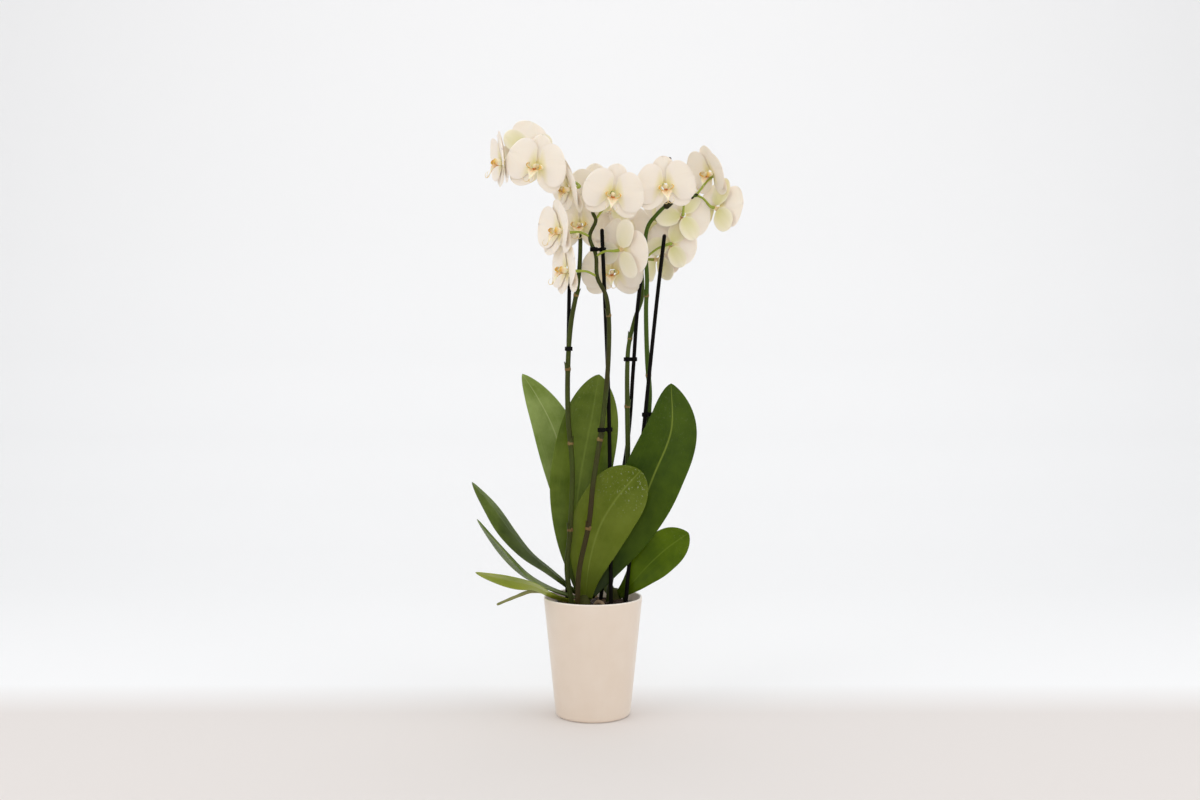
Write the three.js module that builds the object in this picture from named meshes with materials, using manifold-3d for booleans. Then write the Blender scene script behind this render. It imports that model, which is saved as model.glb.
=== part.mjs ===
// A white moth orchid in a tapered ceramic pot. Millimetres, +Z up, origin at the middle of the
// pot's foot on the surface that it stands on. -Y faces the viewer, +X is the viewer's right.
import * as THREE from "three";
import { mergeVertices } from "three/addons/utils/BufferGeometryUtils.js";
import Module from "manifold-3d";

const wasm = await Module();
wasm.setup();

// ---------------------------------------------------------------- driving dimensions
const GAP = 0.3; // between neighbours that touch
const POT = { height: 159, foot: 50, rim: 66, wall: 3, floor: 5, edge: 4, sides: 44 };
const LINER = { bottom: 5.3, top: 147, foot: 42, rim: 57.5, wall: 1.2, lip: 60, sides: 28 };
const BARK = { bottom: 6.8, top: 146, hump: 3, chips: 16, sides: 20 };
const SUNK = 36; // how deep stakes, crowns and spikes go into the bark
const CROWN = { top: 20, radius: 9.5, sides: 10 };
const STAKE = { radius: 2.6, sides: 7, steps: 6 };
const CLIP = { height: 5.5, wall: 2 };
const LEAF = { thickness: 2, edge: 1.1, along: 8, across: 4, base: 0.3, peak: 0.6, trough: 1.3, closer: 1.3 };
const ROOT = { radius: 2.8, sides: 6, steps: 7 };
const SPIKE = { foot: 3.4, tip: 2.3, sides: 6 };
const BRACT = { length: 8, width: 2.6, sides: 3 };
const STALK = { radius: 1.5, flare: 2.3, straight: 9, arch: 3, sides: 5, steps: 4 };
const BLADE = 0.8; // thickness of sepals and petals
const CURL = 0.0012; // how much more they bend forward towards their edge, per mm
const DORSAL = { length: 43, width: 32 };
const LATERAL = { length: 42, width: 30, angle: 125 };
const PETAL = { length: 43, width: 58, angle: 72 };
const LIP = { length: 23, thickness: 1.1, ears: 4, back: 12, rise: 1.2 };
const HUB = { back: -3.5, front: 11, radius: 3.6, sides: 5 };

const RAD = Math.PI / 180;
const AWAY = new THREE.Vector3(0, 1, 0);
const point = (p) => new THREE.Vector3(...p);
const mix = THREE.MathUtils.lerp;

// ---------------------------------------------------------------- colours
const finish = (color, roughness) => new THREE.MeshStandardMaterial({ color, roughness, metalness: 0 });
const CERAMIC = finish("#e3d3c0", 0.25);
const BLACK_PLASTIC = finish("#1d1d1c", 0.4);
const LINER_PLASTIC = finish("#4a463e", 0.25);
const BARK_BROWN = finish("#3a2619", 0.9);
const LEAF_GREEN = finish("#2f4a1c", 0.35);
const CROWN_GREEN = finish("#55702c", 0.5);
const STEM_GREEN = finish("#6f8434", 0.5);
const ROOT_GREEN = finish("#7d7f4c", 0.6);
const PETAL_WHITE = finish("#f3efe4", 0.6);

// ---------------------------------------------------------------- solids

// A closed geometry as a solid that can be joined and cut.
function solid(geometry) {
  const bare = geometry.clone();
  bare.deleteAttribute("normal");
  bare.deleteAttribute("uv");
  const merged = mergeVertices(bare, 1e-4);
  return new wasm.Manifold(
    new wasm.Mesh({
      numProp: 3,
      vertProperties: merged.attributes.position.array,
      triVerts: new Uint32Array(merged.index.array),
    }),
  );
}

// A solid as a geometry again.
function geometryOf(body) {
  const { numProp, vertProperties, triVerts } = body.getMesh();
  const geometry = new THREE.BufferGeometry();
  geometry.setAttribute("position", new THREE.BufferAttribute(vertProperties, numProp));
  geometry.setIndex(new THREE.BufferAttribute(triVerts, 1));
  return geometry;
}

const fuse = (bodies) => bodies.reduce((all, body) => all.add(body));
const cut = (body, tools) => tools.reduce((left, tool) => left.subtract(tool), body);

// The largest piece of a solid that a cut may have parted.
const largest = (body) =>
  body.decompose().reduce((best, piece) => (piece.volume() > best.volume() ? piece : best));

function meshed(points, triangles) {
  const geometry = new THREE.BufferGeometry().setFromPoints(points);
  geometry.setIndex(triangles);
  return solid(geometry);
}

const lathe = (profile, sides) => {
  const outline = profile.map(([radius, height]) => new THREE.Vector2(radius, height));
  return solid(new THREE.LatheGeometry(outline, sides).rotateX(Math.PI / 2));
};

const curveOf = (route) => new THREE.CatmullRomCurve3(route.map(point), false, "centripetal");

// A round rod along a curve, its radius running through `radii` from one end to the other. The
// steps follow the curve's own points, so that it bends where they are close.
function rod(curve, radii, sides, steps) {
  const rings = [];
  const normal = new THREE.Vector3(0.1, 1, 0.2);
  for (let k = 0; k <= steps; k++) {
    const along = (k / steps) * (radii.length - 1);
    const low = Math.min(Math.floor(along), radii.length - 2);
    const radius = mix(radii[low], radii[low + 1], along - low);
    const centre = curve.getPoint(k / steps);
    const tangent = curve.getTangent(k / steps);
    normal.addScaledVector(tangent, -normal.dot(tangent)).normalize();
    const binormal = tangent.clone().cross(normal);
    for (let j = 0; j < sides; j++) {
      const turn = (2 * Math.PI * j) / sides;
      const spot = centre.clone().addScaledVector(normal, radius * Math.cos(turn));
      rings.push(spot.addScaledVector(binormal, radius * Math.sin(turn)));
    }
  }
  const faces = [];
  for (let k = 0; k < steps; k++)
    for (let j = 0; j < sides; j++) {
      const a = k * sides + j;
      const b = k * sides + ((j + 1) % sides);
      faces.push(a, b, b + sides, a, b + sides, a + sides);
    }
  const last = steps * sides;
  for (let j = 1; j < sides - 1; j++) faces.push(0, j + 1, j, last, last + j, last + j + 1);
  return meshed(rings, faces);
}

// A thin blade round the middle surface place(s, v), s 0..1 along it and v -1..1 across it.
// Both faces are split into triangles alike, so they keep clear of each other where it waves.
function blade(place, along, across, thickness) {
  const front = [];
  const back = [];
  const nudge = 1e-3;
  for (let i = 0; i <= along; i++)
    for (let j = 0; j <= across; j++) {
      const s = i / along;
      const v = (2 * j) / across - 1;
      const lengthways = place(Math.min(1, s + nudge), v).sub(place(Math.max(0, s - nudge), v));
      const sideways = place(s, Math.min(1, v + nudge)).sub(place(s, Math.max(-1, v - nudge)));
      const half = sideways.cross(lengthways).setLength(thickness(v) / 2);
      front.push(place(s, v).add(half));
      back.push(place(s, v).sub(half));
    }
  const at = (i, j) => i * (across + 1) + j;
  const other = front.length;
  const faces = [];
  for (let i = 0; i < along; i++)
    for (let j = 0; j < across; j++) {
      const [a, b, c, d] = [at(i, j), at(i, j + 1), at(i + 1, j + 1), at(i + 1, j)];
      faces.push(a, b, c, a, c, d);
      faces.push(other + a, other + c, other + b, other + a, other + d, other + c);
    }
  const rim = [];
  for (let j = 0; j < across; j++) rim.push(at(0, j));
  for (let i = 0; i < along; i++) rim.push(at(i, across));
  for (let j = across; j > 0; j--) rim.push(at(along, j));
  for (let i = along; i > 0; i--) rim.push(at(i, 0));
  rim.forEach((a, k) => {
    const b = rim[(k + 1) % rim.length];
    faces.push(a, other + a, other + b, a, other + b, b);
  });
  return meshed([...front, ...back], faces);
}

const orchid = new THREE.Group();

function add(name, body, material) {
  const mesh = new THREE.Mesh(geometryOf(body), material);
  mesh.name = name;
  orchid.add(mesh);
  return mesh;
}

// ---------------------------------------------------------------- pot and growing pot

// The glazed pot: a cone with a rounded foot edge and a softened rim.
function pot() {
  const { height, foot, rim, wall, floor, edge } = POT;
  const outside = (z) => mix(foot, rim, z / height);
  return lathe(
    [
      [0, 0],
      [foot - edge, 0],
      [foot - edge * 0.3, edge * 0.3],
      [outside(edge), edge],
      [outside(height - 1), height - 1],
      [outside(height) - 0.8, height],
      [outside(height) - wall + 0.8, height],
      [outside(height - 1) - wall, height - 1],
      [outside(floor + edge) - wall, floor + edge],
      [outside(floor) - wall - edge, floor],
      [0, floor],
    ],
    POT.sides,
  );
}

// The growing pot inside it, thin plastic with a turned-out lip, on the glazed pot's floor.
function growingPot() {
  const { bottom, top, foot, rim, wall, lip, sides } = LINER;
  return lathe(
    [
      [0, bottom],
      [foot, bottom],
      [rim, top - wall],
      [lip, top - wall],
      [lip, top],
      [rim - wall, top],
      [foot - wall, bottom + wall],
      [0, bottom + wall],
    ],
    sides,
  );
}

// ---------------------------------------------------------------- stakes

// Route of each stake from the bark's surface up to its tip.
const STAKES = {
  stake_1: [[-35, 12, 147], [-34, 8, 424], [-31, 6, 606], [-31, 6, 620]],
  stake_2: [[24, -12, 147], [21, -13, 413], [12, -20, 645]],
  stake_3: [[10, 20, 147], [47, 21, 367], [54, 20, 460], [61, 19, 556], [80, 39, 680], [104, 45, 748]],
  stake_4: [[44, 4, 147], [70, 5, 404], [85, -5, 555], [94, -18, 638]],
};

// A route with its foot straight down in the bark.
const rooted = ([[x, y, z], ...rest]) => [[x, y, z - SUNK], [x, y, z], ...rest];

const stake = (route, grow = 0) => {
  const radius = STAKE.radius + grow;
  return rod(curveOf(rooted(route)), [radius, radius], STAKE.sides, STAKE.steps);
};

// ---------------------------------------------------------------- crowns

// The short stems that the leaves and spikes grow from: place on the bark.
const CROWNS = {
  crown_left: [-12, -12],
  crown_right: [29, 24],
};

function crown([x, y], grow = 0) {
  const { top, radius, sides } = CROWN;
  const rise = BARK.top + top;
  const profile = [
    [0, BARK.top - SUNK - grow],
    [radius * 0.6 + grow, BARK.top - SUNK - grow],
    [radius + grow, BARK.top - SUNK * 0.5],
    [radius + grow, rise - 6],
    [radius * 0.5 + grow, rise + grow],
    [0, rise + grow],
  ];
  return lathe(profile, sides).translate([x, y, 0]);
}

// ---------------------------------------------------------------- leaves

// Each leaf: its crown, its midrib from the crown to the tip, its full width, how far it is
// rolled about the midrib at the base and at the tip (0 shows its upper face to the viewer),
// and how far each half is folded up.
const LEAVES = {
  leaf_front: {
    crown: "crown_left",
    rib: [[-10, -16, 158], [-5, -22, 205], [9, -24, 255], [32, -25, 294], [63, -25, 330]],
    width: 80, roll: [0, 0], fold: 4,
  },
  leaf_centre: {
    crown: "crown_left",
    rib: [[-13, -11, 160], [-23, -5, 228], [-21, 0, 288], [-13, 2, 341], [-1, 2, 402], [8, 0, 456]],
    width: 82, roll: [0, 0], fold: 8,
  },
  leaf_right: {
    crown: "crown_left",
    rib: [
      [-6, -9, 162], [17, 0, 193], [43, -2, 236], [64, -6, 280], [81, -8, 322], [104, -8, 382],
      [104, -4, 444],
    ],
    width: 80, roll: [0, 0], fold: 8,
  },
  leaf_left_high: {
    crown: "crown_left",
    rib: [
      [-18, -10, 162], [-58, -14, 198], [-83, -16, 219], [-107, -15, 247], [-134, -12, 283],
      [-161, -8, 313],
    ],
    width: 52, roll: [64, 56], fold: 14,
  },
  leaf_left_middle: {
    crown: "crown_left",
    rib: [[-18, -13, 157], [-58, -20, 174], [-85, -28, 192], [-114, -34, 223], [-152, -36, 267]],
    width: 50, roll: [75, 75], fold: 12,
  },
  leaf_left_low: {
    crown: "crown_left",
    rib: [[-18, -15, 152], [-50, -22, 163], [-76, -36, 179], [-108, -44, 188], [-153, -50, 199]],
    width: 44, roll: [64, 60], fold: 8,
  },
  leaf_back: {
    crown: "crown_right",
    rib: [[24, 28, 160], [-14, 38, 223], [-32, 34, 312], [-56, 38, 386], [-77, 42, 426], [-97, 46, 456]],
    width: 62, roll: [0, 0], fold: 12,
  },
  leaf_right_low: {
    crown: "crown_right",
    rib: [[34, 18, 156], [53, 11, 175], [74, 6, 199], [100, -6, 225], [127, -16, 246]],
    width: 54, roll: [20, 10], fold: 8,
  },
};

// Half the leaf's width along it, as a part of the most: a narrow sheath, then a blunt oblong.
function leafHalf(s) {
  const { base, peak } = LEAF;
  const rise = mix(base, 1, Math.sin(Math.min(s / peak, 1) * 90 * RAD) ** 1.4);
  const past = Math.max(0, (s - peak) / (1 - peak));
  return 0.5 * Math.max(0.12, rise * (1 - past ** 2.4) ** 0.6);
}

function leaf({ rib, width, roll, fold }, grow = 0) {
  const curve = curveOf(rib);
  const place = (step, v) => {
    const s = 1 - (1 - step) ** LEAF.closer;
    const along = curve.getTangentAt(s);
    const flat = along.clone().cross(AWAY).normalize();
    const across = flat.applyAxisAngle(along, -mix(roll[0], roll[1], s) * RAD);
    const raised = along.clone().cross(across);
    const half = leafHalf(s) * width + grow;
    return curve
      .getPointAt(s)
      .addScaledVector(across, v * half * Math.cos(fold * RAD))
      .addScaledVector(raised, Math.abs(v) ** LEAF.trough * half * Math.sin(fold * RAD));
  };
  const thickness = (v) => mix(LEAF.thickness, LEAF.edge, Math.abs(v)) + 2 * grow;
  return blade(place, LEAF.along, LEAF.across, thickness);
}

// ---------------------------------------------------------------- aerial roots

// Each root: the crown it springs from and its route.
const ROOTS = {
  root_left: [
    [-34, 0, 140], [-48, -4, 158], [-64, -6, 165], [-81, -8, 167], [-104, -8, 159], [-127, -6, 149],
  ],
  root_front: [[-2, -26, 140], [6, -34, 157], [14, -44, 155], [12, -52, 146]],
};

const root = (route, grow = 0) => {
  const radii = [ROOT.radius + grow, ROOT.radius + grow, ROOT.radius * 0.6 + grow];
  return rod(curveOf(route), radii, ROOT.sides, ROOT.steps);
};

// ---------------------------------------------------------------- spikes and blooms

// Route of each flower spike from the bark up, and how far along it, as parts of its length, a
// node with a small scale leaf sits.
const SPIKES = {
  spike_1: {
    route: [
      [-27, -34, 147], [-34, -34, 200], [-30, -32, 249], [-27, -23, 333], [-33, -11, 402], [-33, -2, 475],
      [-29, -1, 525], [-20, -1, 576], [-17, 14, 625], [-19, 38, 665], [-30, 41, 700], [-50, 31, 730],
      [-76, 12, 750], [-104, 4, 752],
    ],
    nodes: [0.2, 0.36, 0.5, 0.64],
  },
  spike_2: {
    route: [
      [-20, -42, 147], [-18, -46, 199], [-5, -44, 262], [0, -37, 310], [5, -29, 344], [13, -20, 395],
      [20, -23, 468], [21, -26, 530], [17, -27, 560], [6, -26, 583], [4, -25, 612], [-4, -25, 637],
      [4, -27, 658], [0, -27, 668], [4, -30, 684],
    ],
    nodes: [0.25, 0.45, 0.73],
  },
  spike_3: {
    route: [
      [20, 8, 147], [34, 12, 239], [46, 12, 330], [46, 12, 412], [46, 14, 463], [48, 20, 494],
      [57, 28, 532], [66, 31, 558], [66, 32, 594], [62, 36, 626], [58, 42, 645],
    ],
    nodes: [0.35, 0.56, 0.73],
  },
  spike_4: {
    route: [
      [43, 20, 147], [58, 25, 204], [68, 20, 285], [73, 15, 353], [75, 12.5, 404], [76, 13, 432],
      [73, 14, 474], [71, 10, 542], [72, 3, 581], [70, -1, 618], [70, -5, 640], [74, -10, 654],
      [82, -18, 664], [93, -22, 675], [104, -24, 682], [120, -22, 689], [136, -12, 692],
    ],
    nodes: [0.35, 0.55, 0.72],
  },
};

// Each bloom: the spike that bears it, where its stalk leaves the spike, its hub, the way that
// it faces (yaw to the viewer's right from facing the viewer, pitch up, roll clockwise), how far
// its petals and sepals are cupped forward, and its size where it is smaller than the others.
const BLOOMS = {
  bloom_01: {
    spike: "spike_1", from: [-104, 4, 752], hub: [-119, 4, 737],
    yaw: -75, pitch: -5, roll: 0, cup: 8,
  },
  bloom_02: {
    spike: "spike_1", from: [-74, 12, 752], hub: [-72, -40, 725],
    yaw: -20, pitch: -10, roll: 15, cup: 4,
  },
  bloom_03: {
    spike: "spike_1", from: [-85, 9, 753], hub: [-87, 43, 758],
    yaw: -147, pitch: 2, roll: 62, cup: 6,
  },
  bloom_04: {
    spike: "spike_1", from: [-44, 30, 722], hub: [-29, -24, 699],
    yaw: -68, pitch: -15, roll: 10, cup: 8,
  },
  bloom_05: {
    spike: "spike_1", from: [-30, 41, 700], hub: [3, 27, 697],
    yaw: 0, pitch: -10, roll: 0, cup: 4,
  },
  bloom_06: {
    spike: "spike_2", from: [4, -28, 684], hub: [26, -56, 688],
    yaw: 0, pitch: -18, roll: 10, cup: 4, size: 0.95,
  },
  bloom_07: {
    spike: "spike_4", from: [104, -24, 682], hub: [93, -46, 699],
    yaw: 8, pitch: -18, roll: -8, cup: 4, size: 0.95,
  },
  bloom_08: {
    spike: "spike_4", from: [136, -12, 692], hub: [158, 6, 723],
    yaw: -58, pitch: -18, roll: 8, cup: 12, size: 0.93,
  },
  bloom_09: {
    spike: "spike_4", from: [136, -12, 692], hub: [164, 2, 676],
    yaw: 131, pitch: -12, roll: -10, cup: 6,
  },
  bloom_10: {
    spike: "spike_4", from: [120, -22, 689], hub: [119, -4, 667],
    yaw: 178, pitch: 0, roll: -28, cup: 6, size: 0.88,
  },
  bloom_11: {
    spike: "spike_4", from: [71, -1, 612], hub: [104, 5, 629],
    yaw: 172, pitch: 0, roll: -28, cup: 6, size: 0.82,
  },
  bloom_12: {
    spike: "spike_4", from: [74, -10, 654], hub: [89, 21, 660],
    yaw: 160, pitch: -8, roll: 0, cup: 8, size: 0.75,
  },
  bloom_13: {
    spike: "spike_3", from: [58, 42, 645], hub: [46, 20, 653],
    yaw: -15, pitch: 10, roll: 0, cup: 6, size: 0.76,
  },
  bloom_14: {
    spike: "spike_1", from: [-18, 20, 640], hub: [-17, 18, 654],
    yaw: -10, pitch: 0, roll: 0, cup: 4,
  },
  bloom_15: {
    spike: "spike_2", from: [-4, -25, 637], hub: [-40, -44, 641],
    yaw: -60, pitch: 0, roll: 0, cup: 14,
  },
  bloom_16: {
    spike: "spike_2", from: [6, -20, 583], hub: [-32, -40, 591],
    yaw: -68, pitch: 0, roll: 0, cup: 6,
  },
  bloom_17: {
    spike: "spike_3", from: [66, 32, 594], hub: [26, 14, 592],
    yaw: -6, pitch: -10, roll: 0, cup: 4,
  },
  bloom_18: {
    spike: "spike_2", from: [4, -23, 612], hub: [37, -30, 619],
    yaw: 135, pitch: 10, roll: -28, cup: 4,
  },
  bloom_19: {
    spike: "spike_3", from: [62, 32, 605], hub: [87, 52, 612],
    yaw: 120, pitch: 0, roll: 0, cup: 10,
  },
  bloom_20: {
    spike: "spike_2", from: [4, -27, 658], hub: [28, -14, 682],
    yaw: 168, pitch: -2, roll: -24, cup: 4, size: 0.78,
  },
};

const stem = ({ route }, grow = 0) => {
  const radii = [SPIKE.foot + grow, SPIKE.foot + grow, SPIKE.tip + grow];
  return rod(curveOf(rooted(route)), radii, SPIKE.sides, 2 * route.length);
};

// The way that a bloom faces.
const facing = ({ yaw, pitch }) =>
  new THREE.Vector3(
    Math.sin(yaw * RAD) * Math.cos(pitch * RAD),
    -Math.cos(yaw * RAD) * Math.cos(pitch * RAD),
    Math.sin(pitch * RAD),
  );

// The point of a curve that lies nearest to a place.
function nearest(curve, place) {
  const target = point(place);
  const gap = (spot) => spot.distanceTo(target);
  return curve.getSpacedPoints(300).reduce((best, spot) => (gap(spot) < gap(best) ? spot : best));
}

// A bloom's stalk, from inside the spike to just short of the bloom's hub.
function stalk(bloom) {
  const start = nearest(curveOf(SPIKES[bloom.spike].route), bloom.from);
  const ahead = facing(bloom);
  const end = point(bloom.hub).addScaledVector(ahead, HUB.back * (bloom.size ?? 1) - GAP);
  const before = end.clone().addScaledVector(ahead, -STALK.straight);
  const middle = start.clone().lerp(before, 0.5).add(new THREE.Vector3(0, 0, STALK.arch));
  const curve = new THREE.CatmullRomCurve3([start, middle, before, end], false, "centripetal");
  return rod(curve, [STALK.radius, STALK.radius, STALK.flare], STALK.sides, STALK.steps);
}

// The small scale leaf at a node of the spike, on alternate sides.
function bract(curve, at, side) {
  const { length, width, sides } = BRACT;
  const scale = new THREE.ConeGeometry(width, length, sides);
  const centre = curve.getPointAt(at);
  const reach = mix(SPIKE.foot, SPIKE.tip, Math.max(0, 2 * at - 1)) - width * 0.35;
  return solid(scale.rotateX(90 * RAD).translate(centre.x + side * reach, centre.y, centre.z));
}

function spike(name) {
  const { route, nodes } = SPIKES[name];
  const curve = curveOf(rooted(route));
  const stalks = Object.values(BLOOMS).filter((bloom) => bloom.spike === name).map(stalk);
  const bracts = nodes.map((at, k) => bract(curve, at, k % 2 ? 1 : -1));
  return fuse([stem(SPIKES[name]), ...bracts, ...stalks]);
}

// Points round one sepal or petal that runs out along +Y from its claw, turned by `angle`.
function lobe({ length, width }, angle, count) {
  const points = [];
  for (let k = 0; k < count; k++) {
    const turn = mix(0.17, 1.83, k / (count - 1)) * Math.PI;
    const reach = length * (0.5 - 0.5 * Math.cos(turn)) ** 0.85;
    const side = (width / 2) * Math.sin(turn) * Math.min(1, 0.12 + (2.4 * reach) / length);
    points.push(new THREE.Vector2(side, reach).rotateAround(new THREE.Vector2(), angle * RAD));
  }
  return points;
}

// A thin sheet with an outline, bent by moving each of its points.
function sheet(outline, thickness, bend) {
  const shape = new THREE.Shape(outline);
  const flat = new THREE.ExtrudeGeometry(shape, { depth: thickness, bevelEnabled: false });
  const spots = flat.getAttribute("position");
  const spot = new THREE.Vector3();
  for (let k = 0; k < spots.count; k++) {
    bend(spot.fromBufferAttribute(spots, k));
    spots.setXYZ(k, spot.x, spot.y, spot.z);
  }
  return solid(flat);
}

// Bends a sheet round the hub: up by `cup` degrees all round, and a little more towards the edge.
const cupped = (cup, lift) => (spot) => {
  const reach = Math.hypot(spot.x, spot.y);
  spot.z += lift + reach * Math.sin(cup * RAD) + CURL * reach * reach;
  spot.x *= Math.cos(cup * RAD);
  spot.y *= Math.cos(cup * RAD);
};

// The lip: a pointed middle lobe that runs forward and down, and two ears that stand up beside it.
function lip() {
  const half = [[1.5, 0], [9, 4], [10, 10], [4, 9], [6.5, 14], [1.2, LIP.length]];
  const right = half.map(([across, along]) => new THREE.Vector2(across, along));
  const left = half.map(([across, along]) => new THREE.Vector2(-across, along)).reverse();
  return sheet([...right, ...left], LIP.thickness, (spot) => {
    const along = spot.y;
    const rise = Math.max(0, Math.abs(spot.x) - LIP.ears) * LIP.rise * (along < LIP.back);
    spot.y = -2 - 0.6 * along + 0.8 * spot.z + rise;
    spot.z = 4 + 0.75 * along + 0.6 * spot.z;
  });
}

// One bloom, its hub at the origin, +Z the way it faces and +Y its top: sepals behind, the two
// broad petals, the lip and the column in front.
function bloom({ cup }) {
  const column = new THREE.CatmullRomCurve3([
    new THREE.Vector3(0, 0, HUB.back),
    new THREE.Vector3(0, 0, 3),
    new THREE.Vector3(0, 2, HUB.front),
  ]);
  const { angle } = LATERAL;
  const sepals = [...lobe(DORSAL, 0, 7), ...lobe(LATERAL, angle, 7), ...lobe(LATERAL, -angle, 7)];
  const petals = [...lobe(PETAL, -PETAL.angle, 11), ...lobe(PETAL, PETAL.angle, 11)];
  return fuse([
    rod(column, [HUB.radius * 0.8, HUB.radius, HUB.radius * 0.8], HUB.sides, 2),
    sheet(sepals, BLADE, cupped(cup - 5, -1.6)),
    sheet(petals, BLADE, cupped(cup, 0.4)),
    lip(),
  ]);
}

// ---------------------------------------------------------------- clips

// Each clip: the stake and the spike that it ties, and its height.
const CLIPS = {
  clip_1: { stake: "stake_1", spike: "spike_1", height: 490 },
  clip_2: { stake: "stake_2", spike: "spike_2", height: 383 },
  clip_3: { stake: "stake_2", spike: "spike_2", height: 620 },
  clip_4: { stake: "stake_3", spike: "spike_3", height: 476 },
  clip_5: { stake: "stake_4", spike: "spike_4", height: 402 },
};

// Where a curve passes a height.
function atHeight(curve, height) {
  let [low, high] = [0, 1];
  while (high - low > 1e-4) {
    const middle = (low + high) / 2;
    if (curve.getPointAt(middle).z < height) low = middle;
    else high = middle;
  }
  return curve.getPointAt(low);
}

// A clip: a flat collar round stake and stem, with the two holes cut by them.
function clip({ stake: stakeName, spike: spikeName, height }) {
  const at = atHeight(curveOf(rooted(STAKES[stakeName])), height);
  const to = atHeight(curveOf(rooted(SPIKES[spikeName].route)), height);
  const span = Math.hypot(to.x - at.x, to.y - at.y);
  const [small, large] = [STAKE.radius + CLIP.wall, SPIKE.foot + CLIP.wall];
  const outline = new THREE.Shape();
  outline.absarc(0, 0, small, 90 * RAD, 270 * RAD, false);
  outline.absarc(span, 0, large, -90 * RAD, 90 * RAD, false);
  const settings = { depth: CLIP.height, bevelEnabled: false, curveSegments: 3 };
  const collar = new THREE.ExtrudeGeometry(outline, settings);
  collar.translate(0, 0, -CLIP.height / 2).rotateZ(Math.atan2(to.y - at.y, to.x - at.x));
  collar.translate(at.x, at.y, height);
  return cut(solid(collar), [stake(STAKES[stakeName], GAP), stem(SPIKES[spikeName], GAP)]);
}

// ---------------------------------------------------------------- bark

// A repeatable draw between 0 and 1.
let seed = 7;
function draw() {
  seed = (seed * 16807) % 2147483647;
  return seed / 2147483647;
}

// The bark: a plug that fills the growing pot, its top humped and strewn with sunken chips, with
// plain holes for the stakes, crowns, spikes and roots.
function bark() {
  const { bottom, top, hump, chips, sides } = BARK;
  const inside = (z) =>
    mix(LINER.foot, LINER.rim, (z - LINER.bottom) / (LINER.top - LINER.bottom)) - LINER.wall - 2 * GAP;
  const plug = lathe(
    [
      [0, bottom],
      [inside(bottom), bottom],
      [inside(top - 5), top - 5],
      [inside(top) * 0.8, top - 1],
      [inside(top) * 0.4, top + hump],
      [0, top + hump],
    ],
    sides,
  );
  const bits = [];
  for (let k = 0; k < chips; k++) {
    const radius = inside(top) * 0.8 * Math.sqrt(draw());
    const turn = k * 137.5 * RAD;
    const chip = new THREE.BoxGeometry(9 + 7 * draw(), 6 + 4 * draw(), 4 + 3 * draw());
    chip.rotateX(draw() - 0.5).rotateY(draw() - 0.5).rotateZ(6 * draw());
    chip.translate(radius * Math.cos(turn), radius * Math.sin(turn), top + 0.5 * hump);
    bits.push(solid(chip));
  }
  const holes = [
    ...Object.values(STAKES).map((route) => stake(route, GAP)),
    ...Object.values(CROWNS).map((place) => crown(place, GAP)),
    ...Object.values(SPIKES).map((each) => stem(each, GAP)),
    ...Object.values(ROOTS).map((route) => root(route, GAP)),
  ];
  return largest(cut(fuse([plug, ...bits]), holes));
}

// ---------------------------------------------------------------- assembly

add("pot", pot(), CERAMIC);
add("growing_pot", growingPot(), LINER_PLASTIC);
add("bark", bark(), BARK_BROWN);
for (const [name, route] of Object.entries(STAKES)) add(name, stake(route), BLACK_PLASTIC);
for (const [name, place] of Object.entries(CROWNS)) add(name, crown(place), CROWN_GREEN);
const nearby = { crown_left: [], crown_right: [] };
for (const [name, each] of Object.entries(LEAVES)) {
  const beside = nearby[each.crown];
  add(name, largest(cut(leaf(each), [crown(CROWNS[each.crown], GAP), ...beside])), LEAF_GREEN);
  beside.push(leaf(each, GAP));
}
for (const [name, route] of Object.entries(ROOTS)) add(name, root(route), ROOT_GREEN);
for (const name of Object.keys(SPIKES)) add(name, spike(name), STEM_GREEN);
for (const [name, each] of Object.entries(CLIPS)) add(name, clip(each), BLACK_PLASTIC);
for (const [name, each] of Object.entries(BLOOMS)) {
  const mesh = add(name, bloom(each), PETAL_WHITE);
  mesh.position.set(...each.hub);
  mesh.rotateZ(each.yaw * RAD);
  mesh.rotateX((90 - each.pitch) * RAD);
  mesh.rotateZ(-each.roll * RAD);
  mesh.scale.setScalar(each.size ?? 1);
}

export default orchid;
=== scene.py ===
# A white moth orchid in a cream ceramic pot, finished round its solids. Metres, +Z up, the origin
# at the middle of the pot's foot; -Y faces the viewer and +X is the viewer's right.
import math
import random

import bmesh
import bpy
from mathutils import Matrix, Vector
from mathutils.geometry import interpolate_bezier


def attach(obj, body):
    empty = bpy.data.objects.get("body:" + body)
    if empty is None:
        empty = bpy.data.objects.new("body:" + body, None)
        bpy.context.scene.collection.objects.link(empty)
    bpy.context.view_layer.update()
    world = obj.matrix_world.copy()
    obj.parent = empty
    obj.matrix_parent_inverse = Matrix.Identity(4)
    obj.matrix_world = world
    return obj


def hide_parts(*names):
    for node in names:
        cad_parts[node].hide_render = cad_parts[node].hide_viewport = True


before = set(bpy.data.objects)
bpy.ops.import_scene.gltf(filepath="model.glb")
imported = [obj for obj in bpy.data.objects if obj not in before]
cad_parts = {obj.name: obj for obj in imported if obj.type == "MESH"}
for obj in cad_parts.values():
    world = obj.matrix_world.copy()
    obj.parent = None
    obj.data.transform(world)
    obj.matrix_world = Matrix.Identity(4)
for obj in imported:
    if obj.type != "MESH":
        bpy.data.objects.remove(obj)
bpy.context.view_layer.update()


# ---------------------------------------------------------------- viewpoint
# The photograph is taken from table height, square to the pot and a little to its right.
CAMERA_PLACE = (0.0094, -1.777, 0.481)
CAMERA_TILT = 88.09
LENS, SENSOR = 40, 36

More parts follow.
